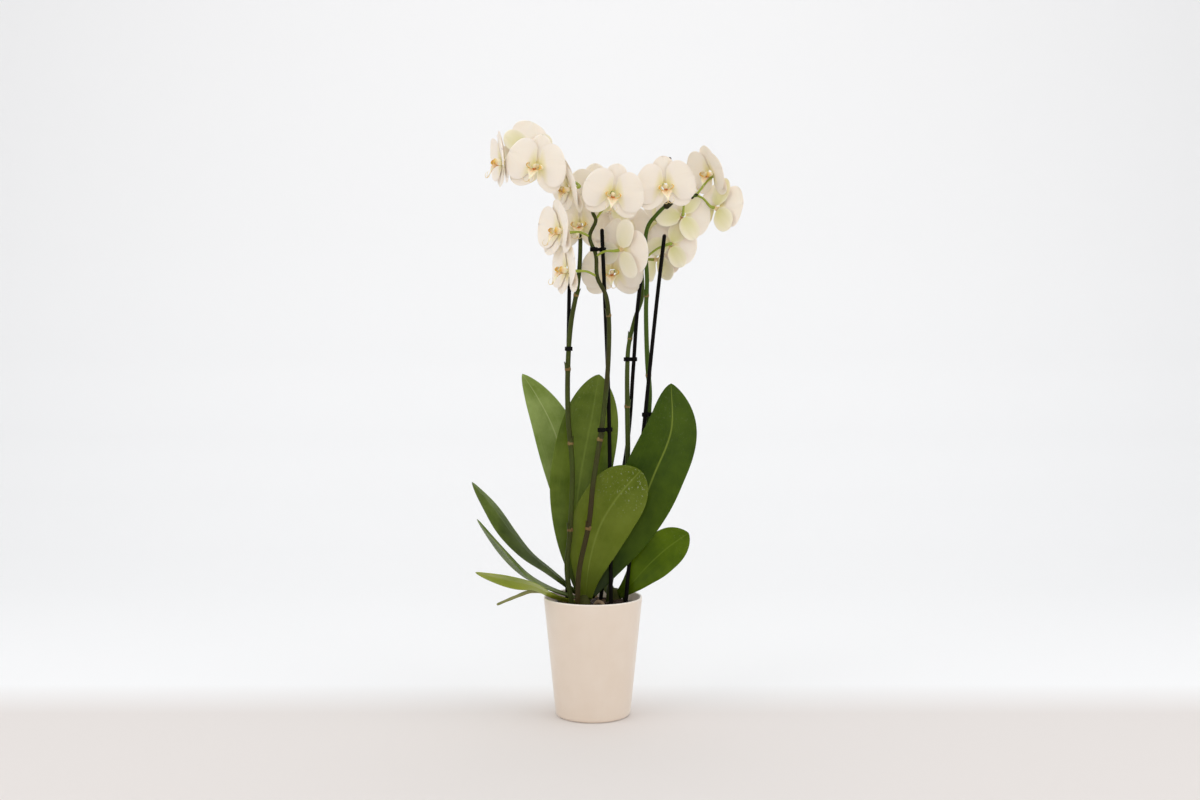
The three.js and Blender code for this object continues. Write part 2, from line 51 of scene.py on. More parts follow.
camera_data = bpy.data.cameras.new("camera")
camera_data.lens = LENS
camera_data.sensor_width = SENSOR
camera = bpy.data.objects.new("camera", camera_data)
camera.location = CAMERA_PLACE
camera.rotation_euler = (math.radians(CAMERA_TILT), 0, 0)
bpy.context.scene.collection.objects.link(camera)
bpy.context.scene.camera = camera


# ---------------------------------------------------------------- glazed pot
# A slip-cast stoneware cone with a rounded foot edge and a soft rim, dipped in a warm cream glaze,
# with a paler painted highlight along the top of the rim. It stands on its flat foot.
POT_HEIGHT, POT_FOOT, POT_RIM = 0.159, 0.050, 0.066
POT_WALL, POT_FLOOR, POT_EDGE = 0.003, 0.005, 0.004
POT_LIP_EDGE = 0.0014
# Heights where the painted highlight on the rim begins and where it is full.
RIM_HIGHLIGHT_FROM, RIM_HIGHLIGHT_FULL = POT_HEIGHT - 0.0022, POT_HEIGHT - 0.0004
POT_SIDES = 128
ARC_HANDLE, ARC_STEPS = 0.55, 5


def linear(colour):
    """An sRGB hex colour as the linear one that a shader takes."""
    parts = (int(colour[k : k + 2], 16) / 255 for k in (1, 3, 5))
    return [p / 12.92 if p <= 0.04045 else ((p + 0.055) / 1.055) ** 2.4 for p in parts] + [1]


def wire(tree, node, links):
    """Gives a node's inputs a value, an sRGB hex colour or another node's output. Where the other
    node itself is given, the output is its first one in use."""
    for name, value in links.items():
        if isinstance(value, bpy.types.Node):
            value = next(output for output in value.outputs if output.enabled)
        if isinstance(value, bpy.types.NodeSocket):
            tree.links.new(value, node.inputs[name])
        else:
            node.inputs[name].default_value = linear(value) if isinstance(value, str) else value
    return node


def add(tree, kind, links, **settings):
    """Adds a shader node with its settings, and wires its inputs."""
    made = tree.nodes.new("ShaderNode" + kind)
    for name, value in settings.items():
        setattr(made, name, value)
    return wire(tree, made, links)


# Inputs that are found by number: a Mix node's share and its two colours, and a Map Range node's
# value, the range that it is read over, and the result at the range's far end.
SHARE, FIRST, SECOND = 0, 6, 7
VALUE, FROM, TO, MOST = 0, 1, 2, 4


def start(name, **values):
    """A new material, its node tree and its shader, with the shader's own sockets set."""
    material = bpy.data.materials.new(name)
    material.use_nodes = True
    shader = material.node_tree.nodes["Principled BSDF"]
    for socket, value in values.items():
        shader.inputs[socket.replace("_", " ")].default_value = value
    return material, material.node_tree, shader


def spun(mesh, profile, sides):
    """Turns a profile of (radius, height) points round the vertical axis."""
    corners = [mesh.verts.new((radius, 0, height)) for radius, height in profile]
    edges = [mesh.edges.new(pair) for pair in zip(corners, corners[1:])]
    bmesh.ops.spin(
        mesh, geom=corners + edges, cent=(0, 0, 0), axis=(0, 0, 1), angle=math.tau, steps=sides,
        use_merge=True,
    )
    bmesh.ops.remove_doubles(mesh, verts=mesh.verts, dist=1e-6)
    bmesh.ops.recalc_face_normals(mesh, faces=mesh.faces)


def piece(name, mesh, materials, slot, *solids):
    """Makes the finished mesh a piece of the orchid that stands for those solids."""
    data = bpy.data.meshes.new(name)
    mesh.to_mesh(data)
    mesh.free()
    data.shade_smooth()
    for material in materials:
        data.materials.append(material)
    made = bpy.data.objects.new(name, data)
    bpy.context.scene.collection.objects.link(made)
    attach(made, "root")
    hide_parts(*solids)
    return made


def rounded(corner, before, after, radius):
    """Points of the arc that rounds a profile's corner between two of its neighbours."""
    corner, before, after = Vector(corner), Vector(before), Vector(after)
    enter = corner + (before - corner).normalized() * radius
    leave = corner + (after - corner).normalized() * radius
    arc = (enter, enter.lerp(corner, ARC_HANDLE), leave.lerp(corner, ARC_HANDLE), leave)
    return [tuple(p)[:2] for p in interpolate_bezier(*(end.to_3d() for end in arc), ARC_STEPS)]


def pot_profile():
    """The half section of the cone, from the middle of its foot round the rim to its floor."""
    foot, rim = (POT_FOOT, 0), (POT_RIM, POT_HEIGHT)
    lip = (POT_RIM - POT_WALL, POT_HEIGHT)
    inner = (POT_FOOT - POT_WALL, POT_FLOOR)
    return [
        (0, 0),
        (0.8 * POT_FOOT, 0),
        *rounded(foot, (0, 0), rim, POT_EDGE),
        *rounded(rim, foot, lip, POT_LIP_EDGE),
        *rounded(lip, rim, inner, POT_LIP_EDGE),
        *rounded(inner, lip, (0, POT_FLOOR), POT_EDGE),
        (0, POT_FLOOR),
    ]


# Stoneware under a dipped glaze: even and warm, with a faint cloudiness a few centimetres across,
# fine pinpricks in the surface, a wide dull sheen, and a paler painted highlight along the rim.
def cream_glaze():
    material, tree, shader = start(
        "cream_stoneware_glaze", Roughness=0.45, IOR=1.5, Coat_Weight=0.15, Coat_Roughness=0.35,
        Sheen_Weight=0.5, Sheen_Roughness=0.3,
    )
    place = add(tree, "TexCoord", {}).outputs["Object"]
    cloud = add(tree, "TexNoise", {"Vector": place, "Scale": 28, "Detail": 3, "Roughness": 0.55})
    speck = add(tree, "TexNoise", {"Vector": place, "Scale": 900, "Detail": 2})
    height = add(tree, "SeparateXYZ", {"Vector": place}).outputs["Z"]
    # Painted highlight: the glaze colour turns paler over the top of the rim.
    thin = add(tree, "MapRange", {VALUE: height, FROM: RIM_HIGHLIGHT_FROM, TO: RIM_HIGHLIGHT_FULL})
    body = add(tree, "Mix", {SHARE: cloud, FIRST: "#E0CEBB", SECOND: "#E8DACB"}, data_type="RGBA")
    lip = add(tree, "Mix", {SHARE: thin, FIRST: body, SECOND: "#F3E9DC"}, data_type="RGBA")
    pits = add(tree, "Bump", {"Height": speck, "Strength": 0.06, "Distance": 0.0003})
    wire(tree, shader, {"Base Color": lip, "Normal": pits})
    return material


pot_mesh = bmesh.new()
spun(pot_mesh, pot_profile(), POT_SIDES)
piece("glazed_pot", pot_mesh, [cream_glaze()], "ceramic", "pot")


# ---------------------------------------------------------------- growing pot
# The thin smoky plastic pot that the plant was grown in, dropped into the glazed one, its rolled
# lip just under the glazed rim.
LINER_BOTTOM, LINER_TOP = 0.0053, 0.147
LINER_FOOT, LINER_RIM, LINER_LIP, LINER_WALL = 0.042, 0.0575, 0.060, 0.0012
LINER_EDGE, LINER_SIDES = 0.0004, 96


# Injection-moulded polypropylene with carbon in it: dark, a little see-through where thin, with a
# soft moulded sheen.
def smoky_plastic():
    material, tree, shader = start(
        "smoky_polypropylene", Roughness=0.28, IOR=1.49, Transmission_Weight=0.12
    )
    place = add(tree, "TexCoord", {}).outputs["Object"]
    haze = add(tree, "TexNoise", {"Vector": place, "Scale": 60, "Detail": 3})
    tint = add(tree, "Mix", {SHARE: haze, FIRST: "#2A241D", SECOND: "#4B4238"}, data_type="RGBA")
    grain = add(tree, "Bump", {"Height": haze, "Strength": 0.1, "Distance": 0.0005})
    wire(tree, shader, {"Base Color": tint, "Normal": grain})
    return material


liner_mesh = bmesh.new()
spun(
    liner_mesh,
    [
        (0, LINER_BOTTOM),
        (LINER_FOOT, LINER_BOTTOM),
        (LINER_RIM, LINER_TOP - LINER_WALL),
        (LINER_LIP - LINER_EDGE, LINER_TOP - LINER_WALL),
        (LINER_LIP, LINER_TOP - LINER_WALL / 2),
        (LINER_LIP - LINER_EDGE, LINER_TOP),
        (LINER_RIM - LINER_WALL, LINER_TOP),
        (LINER_FOOT - LINER_WALL, LINER_BOTTOM + LINER_WALL),
        (0, LINER_BOTTOM + LINER_WALL),
    ],
    LINER_SIDES,
)
piece("growing_pot_shell", liner_mesh, [smoky_plastic()], "growing_pot", "growing_pot")


# ---------------------------------------------------------------- bark
# Orchid bark: a plug of dark damp bark with loose chips strewn over its humped top, one in four
# of them freshly broken and tan.
BARK_BOTTOM, BARK_TOP, BARK_HUMP = 0.0068, 0.146, 0.003
BARK_FOOT, BARK_RIM, BARK_SIDES = 0.0402, 0.0556, 48
CHIPS, CHIP_REACH, CHIP_TURN, CHIP_TILT = 110, 0.88 * BARK_RIM, math.radians(137.5), 0.5
CHIP_SIZES = ((0.008, 0.017), (0.005, 0.009), (0.003, 0.006))
CHIP_BROKEN = 0.14
FRESH_EVERY = 4
draw = random.Random(7)


# Pine bark, broken rather than cut: ridged along the grain, brown-black where damp and tan on
# fresh faces, with no gloss.
def bark_material(name, dark, light):
    material, tree, shader = start(name, Roughness=0.85)
    place = add(tree, "TexCoord", {}).outputs["Object"]
    grain = add(tree, "TexNoise", {"Vector": place, "Scale": 260, "Detail": 6, "Roughness": 0.7})
    patch = add(tree, "TexNoise", {"Vector": place, "Scale": 45, "Detail": 3})
    mixed = add(tree, "Math", {0: grain, 1: patch}, operation="MULTIPLY")
    spread = add(tree, "MapRange", {VALUE: mixed, FROM: 0.12, TO: 0.42})
    tint = add(tree, "Mix", {SHARE: spread, FIRST: dark, SECOND: light}, data_type="RGBA")
    ridges = add(tree, "Bump", {"Height": grain, "Strength": 0.8, "Distance": 0.0015})
    wire(tree, shader, {"Base Color": tint, "Normal": ridges})
    return material


def chip(mesh, spot, size, turned, tone):
    """A broken chip: a block with its corners shifted at random."""
    made = bmesh.ops.create_cube(mesh, size=1)["verts"]
    for corner in made:
        corner.co += Vector(draw.uniform(-CHIP_BROKEN, CHIP_BROKEN) for _ in range(3))
    bmesh.ops.transform(mesh, matrix=Matrix.Diagonal((*size, 1)), verts=made)
    bmesh.ops.rotate(mesh, matrix=turned, verts=made)
    bmesh.ops.translate(mesh, vec=spot, verts=made)
    for face in {face for corner in made for face in corner.link_faces}:
        face.material_index = tone


bark_mesh = bmesh.new()
spun(
    bark_mesh,
    [
        (0, BARK_BOTTOM),
        (BARK_FOOT, BARK_BOTTOM),
        (BARK_RIM, BARK_TOP - 0.005),
        (0.8 * BARK_RIM, BARK_TOP - 0.001),
        (0.4 * BARK_RIM, BARK_TOP + BARK_HUMP - 0.002),
        (0, BARK_TOP + BARK_HUMP - 0.002),
    ],
    BARK_SIDES,
)
for k in range(CHIPS):
    away = CHIP_REACH * math.sqrt((k + 0.5) / CHIPS)
    turn = k * CHIP_TURN
    lift = BARK_TOP + BARK_HUMP * (1 - away / BARK_RIM) - 0.001 + draw.uniform(-0.001, 0.002)
    tilt = Matrix.Rotation(draw.uniform(0, math.tau), 3, "Z")
    tilt = tilt @ Matrix.Rotation(draw.uniform(-CHIP_TILT, CHIP_TILT), 3, "X")
    size = [draw.uniform(*limits) for limits in CHIP_SIZES]
    spot = (away * math.cos(turn), away * math.sin(turn), lift)
    chip(bark_mesh, spot, size, tilt, int(k % FRESH_EVERY == 0))
bmesh.ops.recalc_face_normals(bark_mesh, faces=bark_mesh.faces)
bark_tones = [
    bark_material("damp_pine_bark", "#150D08", "#4A3120"),
    bark_material("fresh_pine_bark", "#4A3020", "#A98761"),
]
bark_piece = piece("bark_chips", bark_mesh, bark_tones, "bark", "bark")
bark_piece.data.shade_flat()


# ---------------------------------------------------------------- stakes
# Four slim plastic-coated stakes with rounded tops, pushed into the bark beside the flower stems.
# Each starts at the bark's surface and is sunk straight down in it.
STAKE_RADIUS, STAKE_STEP, STAKE_SIDES = 0.0026, 0.006, 20
SUNK = 0.036
SPAN_POINTS = 24
STAKES = {
    "stake_1": [
        (-0.035, 0.012, 0.147), (-0.034, 0.008, 0.424), (-0.031, 0.006, 0.606), (-0.031, 0.006, 0.62),
    ],
    "stake_2": [
        (0.024, -0.012, 0.147), (0.021, -0.013, 0.413), (0.012, -0.02, 0.645),
    ],
    "stake_3": [
        (0.01, 0.02, 0.147), (0.047, 0.021, 0.367), (0.054, 0.02, 0.46), (0.061, 0.019, 0.556),
        (0.08, 0.039, 0.68), (0.104, 0.045, 0.748),
    ],
    "stake_4": [
        (0.044, 0.004, 0.147), (0.07, 0.005, 0.404), (0.085, -0.005, 0.555), (0.094, -0.018, 0.638),
    ],
}


def smooth_line(route, spacing):
    """Points that far apart along the smooth curve through a route."""
    stops = [Vector(stop) for stop in route]
    stops = [2 * stops[0] - stops[1], *stops, 2 * stops[-1] - stops[-2]]
    fine = []
    for before, here, there, after in zip(stops, stops[1:], stops[2:], stops[3:]):
        a, b, c = (math.sqrt((q - p).length) for p, q in ((before, here), (here, there), (there, after)))
        leave = (there - here) + ((here - before) / a - (there - before) / (a + b)) * b
        reach = (there - here) + ((after - there) / c - (after - here) / (b + c)) * b
        fine += interpolate_bezier(here, here + leave / 3, there - reach / 3, there, SPAN_POINTS)[:-1]
    fine.append(stops[-2])
    lengths = [0]
    for p, q in zip(fine, fine[1:]):
        lengths.append(lengths[-1] + (q - p).length)
    count = max(4, round(lengths[-1] / spacing))
    line, k = [], 0
    for step in range(count + 1):
        goal = lengths[-1] * step / count
        while k < len(fine) - 2 and lengths[k + 1] < goal:
            k += 1
        line.append(fine[k].lerp(fine[k + 1], (goal - lengths[k]) / (lengths[k + 1] - lengths[k])))
    return line


def rooted(route):
    """A route with its foot straight down in the bark."""
    x, y, z = route[0]
    return [(x, y, z - SUNK), *route]


def sheet(mesh, along, across, place):
    """A sheet of squares, each corner moved to place(s, v), s 0..1 along it and v -1..1 across,
    with s and v kept as its UV map. Gives its corners, their s and v, and its faces."""
    corners = bmesh.ops.create_grid(mesh, x_segments=across, y_segments=along, size=1)["verts"]
    chart = mesh.loops.layers.uv.verify()
    faces = {face for corner in corners for face in corner.link_faces}
    for face in faces:
        for loop in face.loops:
            loop[chart].uv = (loop.vert.co.x / 2 + 0.5, loop.vert.co.y / 2 + 0.5)
    shares = [(corner.co.y / 2 + 0.5, corner.co.x) for corner in corners]
    for corner, share in zip(corners, shares):
        corner.co = place(*share)
    return corners, shares, faces


def tube(mesh, line, radius, sides, tone=0):
    """A round tube along a line with domed ends; radius(s) is given by the share of its length."""
    last = len(line) - 1
    rings = []
    side = Vector((0.1, 1, 0.2))
    for k, spot in enumerate(line):
        ahead = (line[min(k + 1, last)] - line[max(k - 1, 0)]).normalized()
        side = (side - ahead * side.dot(ahead)).normalized()
        ring = (spot, side, ahead.cross(side), radius(k / last))
        rings.append(ring)
        if k in (0, last):
            way = ahead if k else -ahead
            dome = [
                (spot + way * ring[3] * math.sin(turn), *ring[1:3], ring[3] * math.cos(turn))
                for turn in (math.radians(30), math.radians(60), math.radians(90))
            ]
            rings = rings + dome if k else dome[::-1] + rings
    count = len(rings) - 1

    def place(s, v):
        spot, right, up, reach = rings[round(s * count)]
        return spot + reach * (math.cos(math.pi * v) * right + math.sin(math.pi * v) * up)

    corners, _, faces = sheet(mesh, count, sides, place)
    for face in faces:
        face.material_index = tone
    bmesh.ops.remove_doubles(mesh, verts=corners, dist=1e-6)


# Fibreglass in a black polyethylene skin: near-black, with a fine lengthwise drag from the die
# and a soft highlight down one side.
def black_plastic(name):
    material, tree, shader = start(name, Roughness=0.35, IOR=1.45, Specular_IOR_Level=0.03)
    place = add(tree, "TexCoord", {}).outputs["Object"]
    long = add(tree, "Mapping", {"Vector": place, "Scale": (1, 1, 0.05)})
    drag = add(tree, "TexNoise", {"Vector": long, "Scale": 1500, "Detail": 3})
    dust = add(tree, "TexNoise", {"Vector": place, "Scale": 120, "Detail": 4})
    tint = add(tree, "Mix", {SHARE: dust, FIRST: "#0A0908", SECOND: "#181614"}, data_type="RGBA")
    lines = add(tree, "Bump", {"Height": drag, "Strength": 0.15, "Distance": 0.0003})
    wire(tree, shader, {"Base Color": tint, "Normal": lines})
    return material


stake_skin = black_plastic("black_polyethylene_skin")
for name, route in STAKES.items():
    mesh = bmesh.new()
    tube(mesh, smooth_line(rooted(route), STAKE_STEP), lambda s: STAKE_RADIUS, STAKE_SIDES)
    bmesh.ops.recalc_face_normals(mesh, faces=mesh.faces)
    piece(name + "_rod", mesh, [stake_skin], "stake", name)


# ---------------------------------------------------------------- leaves
# Thick strap leaves with a furrowed midrib and a keel below, sheathed one over the other on two
# short crowns. Each has its own rib, full width, roll about the rib at base and tip, and fold.
LEAF_THICK, LEAF_EDGE_THICK = 0.0021, 0.0014
LEAF_BASE, LEAF_PEAK = 0.22, 0.6
FURROW, FURROW_WIDE = 0.0010, 0.10
KEEL, KEEL_WIDE = 0.0012, 0.12
RIPPLE_TURNS, RIPPLE_SKEW, RIPPLE_SHIFT = 9, 2, 40
LEAF_STEP, LEAF_ALONG, LEAF_ACROSS = 0.002, 72, 28
AWAY = Vector((0, 1, 0))
LEAVES = {
    "leaf_front": {
        "rib": [
            (-0.01, -0.016, 0.158), (-0.005, -0.022, 0.205), (0.009, -0.024, 0.255),
            (0.032, -0.025, 0.294), (0.063, -0.025, 0.33),
        ],
        "width": 0.08, "roll": (0, 0), "fold": 4,
    },
    "leaf_centre": {
        "rib": [
            (-0.013, -0.011, 0.16), (-0.023, -0.005, 0.228), (-0.021, 0, 0.288),
            (-0.013, 0.002, 0.341), (-0.001, 0.002, 0.402), (0.008, 0, 0.456),
        ],
        "width": 0.082, "roll": (0, 0), "fold": 8,
    },
    "leaf_right": {
        "rib": [
            (-0.006, -0.009, 0.162), (0.017, 0, 0.193), (0.043, -0.002, 0.236), (0.064, -0.006, 0.28),
            (0.081, -0.008, 0.322), (0.104, -0.008, 0.382), (0.104, -0.004, 0.444),
        ],
        "width": 0.08, "roll": (0, 0), "fold": 8,
    },
    "leaf_left_high": {
        "rib": [
            (-0.018, -0.01, 0.162), (-0.058, -0.014, 0.198), (-0.083, -0.016, 0.219),
            (-0.107, -0.015, 0.247), (-0.134, -0.012, 0.283), (-0.161, -0.008, 0.313),
        ],
        "width": 0.052, "roll": (64, 56), "fold": 14,
    },
    "leaf_left_middle": {
        "rib": [
            (-0.018, -0.013, 0.157), (-0.058, -0.02, 0.174), (-0.085, -0.028, 0.192),
            (-0.114, -0.034, 0.223), (-0.152, -0.036, 0.267),
        ],
        "width": 0.05, "roll": (75, 75), "fold": 12,
    },
    "leaf_left_low": {
        "rib": [
            (-0.018, -0.015, 0.152), (-0.05, -0.022, 0.163), (-0.076, -0.036, 0.179),
            (-0.108, -0.044, 0.188), (-0.153, -0.05, 0.199),
        ],
        "width": 0.044, "roll": (64, 60), "fold": 8,
    },
    "leaf_back": {
        "rib": [
            (0.024, 0.028, 0.16), (-0.014, 0.038, 0.223), (-0.032, 0.034, 0.312),
            (-0.056, 0.038, 0.386), (-0.077, 0.042, 0.426), (-0.097, 0.046, 0.456),
        ],
        "width": 0.062, "roll": (0, 0), "fold": 12,
    },
    "leaf_right_low": {
        "rib": [
            (0.034, 0.018, 0.156), (0.053, 0.011, 0.175), (0.074, 0.006, 0.199), (0.1, -0.006, 0.225),
            (0.127, -0.016, 0.246),
        ],
        "width": 0.054, "roll": (20, 10), "fold": 8,
    },
}


def mixed(low, high, share):
    """The value at that share of the way from low to high."""
    return low + (high - low) * share


def along_line(line, share):
    """The point and the direction at that share of an evenly spaced line."""
    k = min(int(share * (len(line) - 1)), len(line) - 2)
    part = share * (len(line) - 1) - k
    before, after = line[max(k - 1, 0)], line[min(k + 2, len(line) - 1)]
    ahead = (line[k + 1] - before).lerp(after - line[k], part).normalized()
    return line[k].lerp(line[k + 1], part), ahead


def leaf_half(s, full, sharp):
    """Half the leaf's width as a part of the whole: a narrow sheath, then an oblong that stays
    broad for longer when `full` is large and ends in a point when `sharp` nears 1."""
    rise = mixed(LEAF_BASE, 1, math.sin(min(s / LEAF_PEAK, 1) * math.pi / 2) ** 1.4)
    past = max(0, (s - LEAF_PEAK) / (1 - LEAF_PEAK))
    return 0.5 * rise * max(0, 1 - past**full) ** sharp


def blade(mesh, along, across, place, thickness, under_tone=1):
    """A thin closed blade round the middle sheet place(s, v), its underside in another material."""
    corners, shares, faces = sheet(mesh, along, across, place)
    mesh.normal_update()
    outward = [corner.normal.copy() for corner in corners]
    edges = {edge for face in faces for edge in face.edges}
    copied = bmesh.ops.duplicate(mesh, geom=[*corners, *edges, *faces])
    below = [copied["vert_map"][corner] for corner in corners]
    under = [face for face in copied["geom"] if isinstance(face, bmesh.types.BMFace)]
    for face in under:
        face.material_index = under_tone
    bmesh.ops.reverse_faces(mesh, faces=under)
    for top, bottom, normal, (s, v) in zip(corners, below, outward, shares):
        half = normal * thickness(s, v) / 2
        top.co += half
        bottom.co -= half
    bmesh.ops.remove_doubles(mesh, verts=corners + below, dist=2e-6)


def leaf_blade(mesh, rib, width, roll, fold, tip, wave):
    """A leaf along its rib, folded up to both sides of it, with a ripple along its edges."""
    line = smooth_line(rib, LEAF_STEP)

    def place(step, cross):
        s = 1 - (1 - step) ** 1.2
        v = -math.sin(cross * math.pi / 2)
        spot, ahead = along_line(line, s)
        flat = ahead.cross(AWAY).normalized()
        lean = math.radians(mixed(*roll, s))
        across = Matrix.Rotation(-lean, 3, ahead) @ flat
        raised = ahead.cross(across)
        half = leaf_half(s, *tip) * width
        steep = math.radians(fold)
        beat = math.sin(RIPPLE_TURNS * s + RIPPLE_SKEW * v + RIPPLE_SHIFT * rib[-1][0])
        ripple = wave * abs(v) ** 2 * beat * math.sin(math.pi * s)
        furrow = FURROW * math.exp(-((v / FURROW_WIDE) ** 2)) * (1 - s)
        lift = abs(v) ** 1.3 * half * math.sin(steep) + ripple - furrow
        return spot + across * v * half * math.cos(steep) + raised * lift

    def thickness(step, cross):
        v = abs(math.sin(cross * math.pi / 2))
        closing = min(1, (1 - v**4) * 1.2) ** 0.5 if v < 1 else 0
        ends = min(1, 40 * step, 14 * (1 - step)) ** 0.5
        keel = KEEL * (1 - step) * math.exp(-((v / KEEL_WIDE) ** 2))
        return (mixed(LEAF_THICK, LEAF_EDGE_THICK, v) + keel) * closing * ends

    blade(mesh, LEAF_ALONG, LEAF_ACROSS, place, thickness)


# Living leaf under a waxy skin: deep green with fine parallel veins lengthwise, a pale furrow down
# the midrib and a thin pale edge. Painted shade darkens it towards its base, and `dust` gives it
# pale specks of dust towards its tip. The underside is duller and clean.
def leaf_skin(name, deep, bright, rib_tone, base_shade, shine, dust):
    material, tree, shader = start(
        name, Roughness=shine, IOR=1.4, Subsurface_Weight=0.05, Subsurface_Scale=0.002,
        Coat_Weight=0.03, Coat_Roughness=0.15, Specular_IOR_Level=0.12,
    )
    shader.inputs["Subsurface Radius"].default_value = (0.5, 1.0, 0.15)
    chart = add(tree, "TexCoord", {})
    place, spread = chart.outputs["Object"], chart.outputs["UV"]
    uv = add(tree, "SeparateXYZ", {"Vector": spread})
    centred = add(tree, "Math", {0: uv.outputs["X"], 1: 0.5}, operation="SUBTRACT")
    off = add(tree, "Math", {0: centred}, operation="ABSOLUTE")
    cloud = add(tree, "TexNoise", {"Vector": place, "Scale": 22, "Detail": 4, "Roughness": 0.6})
    stretched = add(tree, "Mapping", {"Vector": spread, "Scale": (46, 1.6, 1)})
    veins = add(tree, "TexNoise", {"Vector": stretched, "Scale": 1, "Detail": 3, "Roughness": 0.5})
    speck = add(tree, "TexNoise", {"Vector": place, "Scale": 420, "Detail": 3, "Roughness": 0.7})
    vary = add(tree, "MapRange", {VALUE: cloud, FROM: 0.32, TO: 0.7})
    base = add(tree, "Mix", {SHARE: vary, FIRST: deep, SECOND: bright}, data_type="RGBA")
    lined = add(tree, "MapRange", {VALUE: veins, FROM: 0.45, TO: 0.72, MOST: 0.28})
    streaked = add(tree, "Mix", {SHARE: lined, FIRST: base, SECOND: bright}, data_type="RGBA")
    middle = add(tree, "MapRange", {VALUE: off, FROM: 0.015, TO: 0.003, MOST: 0.5})
    ribbed = add(tree, "Mix", {SHARE: middle, FIRST: streaked, SECOND: rib_tone}, data_type="RGBA")
    rim = add(tree, "MapRange", {VALUE: off, FROM: 0.478, TO: 0.497, MOST: 0.7})
    edged = add(tree, "Mix", {SHARE: rim, FIRST: ribbed, SECOND: "#94A44C"}, data_type="RGBA")
    grit = add(tree, "TexNoise", {"Vector": place, "Scale": 330, "Detail": 3, "Roughness": 0.8})
    loose = add(tree, "MapRange", {VALUE: grit, FROM: 0.6, TO: 0.68, MOST: dust})
    tipward = add(tree, "MapRange", {VALUE: uv.outputs["Y"], FROM: 0.55, TO: 0.9})
    settled = add(tree, "Math", {0: loose, 1: tipward}, operation="MULTIPLY")
    dusty = add(tree, "Mix", {SHARE: settled, FIRST: edged, SECOND: "#C9CDB4"}, data_type="RGBA")
    # Painted shade: the leaf darkens towards its base, where it lies in shadow near the crown.
    shaded = add(tree, "MapRange", {VALUE: uv.outputs["Y"], FROM: 0.2, TO: 0.0, MOST: base_shade})
    shadowed = add(tree, "Mix", {SHARE: shaded, FIRST: dusty, SECOND: "#161E06"}, data_type="RGBA")
    fine = add(tree, "Bump", {"Height": veins, "Strength": 0.25, "Distance": 0.0006})
    pores = add(tree, "Bump", {"Height": speck, "Strength": 0.05, "Distance": 0.0004, "Normal": fine})
    wire(tree, shader, {"Base Color": shadowed, "Normal": pores})
    return material


# Tones of each leaf's upper and lower face and of its rib, how much painted shade darkens its
# base, the shape of its tip, and the height of its ripple.
UPPER_SHINE, LOWER_SHINE = 0.34, 0.46
DUST, FRONT_DUST = 0.12, 0.5
LEAF_LOOKS = {
    "leaf_front": (("#4E5C08", "#647022"), ("#56682C", "#66783A"), "#7C883C", 0.3, (3.4, 0.62), 0.0010),
    "leaf_centre": (("#44560C", "#667628"), ("#56682C", "#66783A"), "#748434", 0.7, (2.8, 0.72), 0.0014),
    "leaf_right": (("#2A3E02", "#42560A"), ("#42581C", "#526A2C"), "#8A983C", 0.8, (2.5, 0.74), 0.0014),
    "leaf_left_high": (("#3C4E0E", "#64762A"), ("#445810", "#6C7C32"), "#7E8E4A", 0.8, (2.2, 0.8), 0.0012),
    "leaf_left_middle": (("#52642A", "#7E8C54"), ("#5E7036", "#8C9862"), "#8E9A6A", 0.8, (2.2, 0.8), 0.0010),
    "leaf_left_low": (("#788A0E", "#96A02E"), ("#84942C", "#A0AA3E"), "#9AA440", 0.1, (2.4, 0.8), 0.0012),
    "leaf_back": (("#687C2E", "#92A25C"), ("#586A2C", "#6A7A3C"), "#B6BE82", 0.5, (2.0, 0.78), 0.0012),
    "leaf_right_low": (("#3C5204", "#586E06"), ("#54701E", "#687E30"), "#70842A", 0.6, (3.0, 0.7), 0.0012),
}
for name, leaf in LEAVES.items():
    upper, lower, rib_tone, base_shade, tip, wave = LEAF_LOOKS[name]
    mesh = bmesh.new()
    leaf_blade(mesh, leaf["rib"], leaf["width"], leaf["roll"], leaf["fold"], tip, wave)
    dust = FRONT_DUST if name == "leaf_front" else DUST
    skins = [
        leaf_skin("waxy_upper_" + name, *upper, rib_tone, base_shade, UPPER_SHINE, dust),
        leaf_skin("dull_under_" + name, *lower, lower[0], base_shade, LOWER_SHINE, 0),
    ]
    piece(name + "_blade", mesh, skins, "leaf", name)


# ---------------------------------------------------------------- crowns
# The short thick stems at the bark's surface, wrapped in the overlapping bases of old leaves.
CROWN_RADIUS, CROWN_RISE, CROWN_SIDES = 0.0095, 0.020, 32
CROWNS = {
    "crown_left": (-0.012, -0.012),
    "crown_right": (0.029, 0.024),
}


# Leaf-base tissue: firm and dark green, drying to straw in patches, and ribbed lengthwise.
def sheath_skin():
    material, tree, shader = start("leaf_base_sheath", Roughness=0.6, Specular_IOR_Level=0.08)
    place = add(tree, "TexCoord", {}).outputs["Object"]
    tall = add(tree, "Mapping", {"Vector": place, "Scale": (1, 1, 0.1)})
    ribs = add(tree, "TexNoise", {"Vector": tall, "Scale": 700, "Detail": 2})
    patch = add(tree, "TexNoise", {"Vector": place, "Scale": 90, "Detail": 3})
    tint = add(tree, "Mix", {SHARE: patch, FIRST: "#26320C", SECOND: "#565228"}, data_type="RGBA")
    relief = add(tree, "Bump", {"Height": ribs, "Strength": 0.4, "Distance": 0.0008})
    wire(tree, shader, {"Base Color": tint, "Normal": relief})
    return material


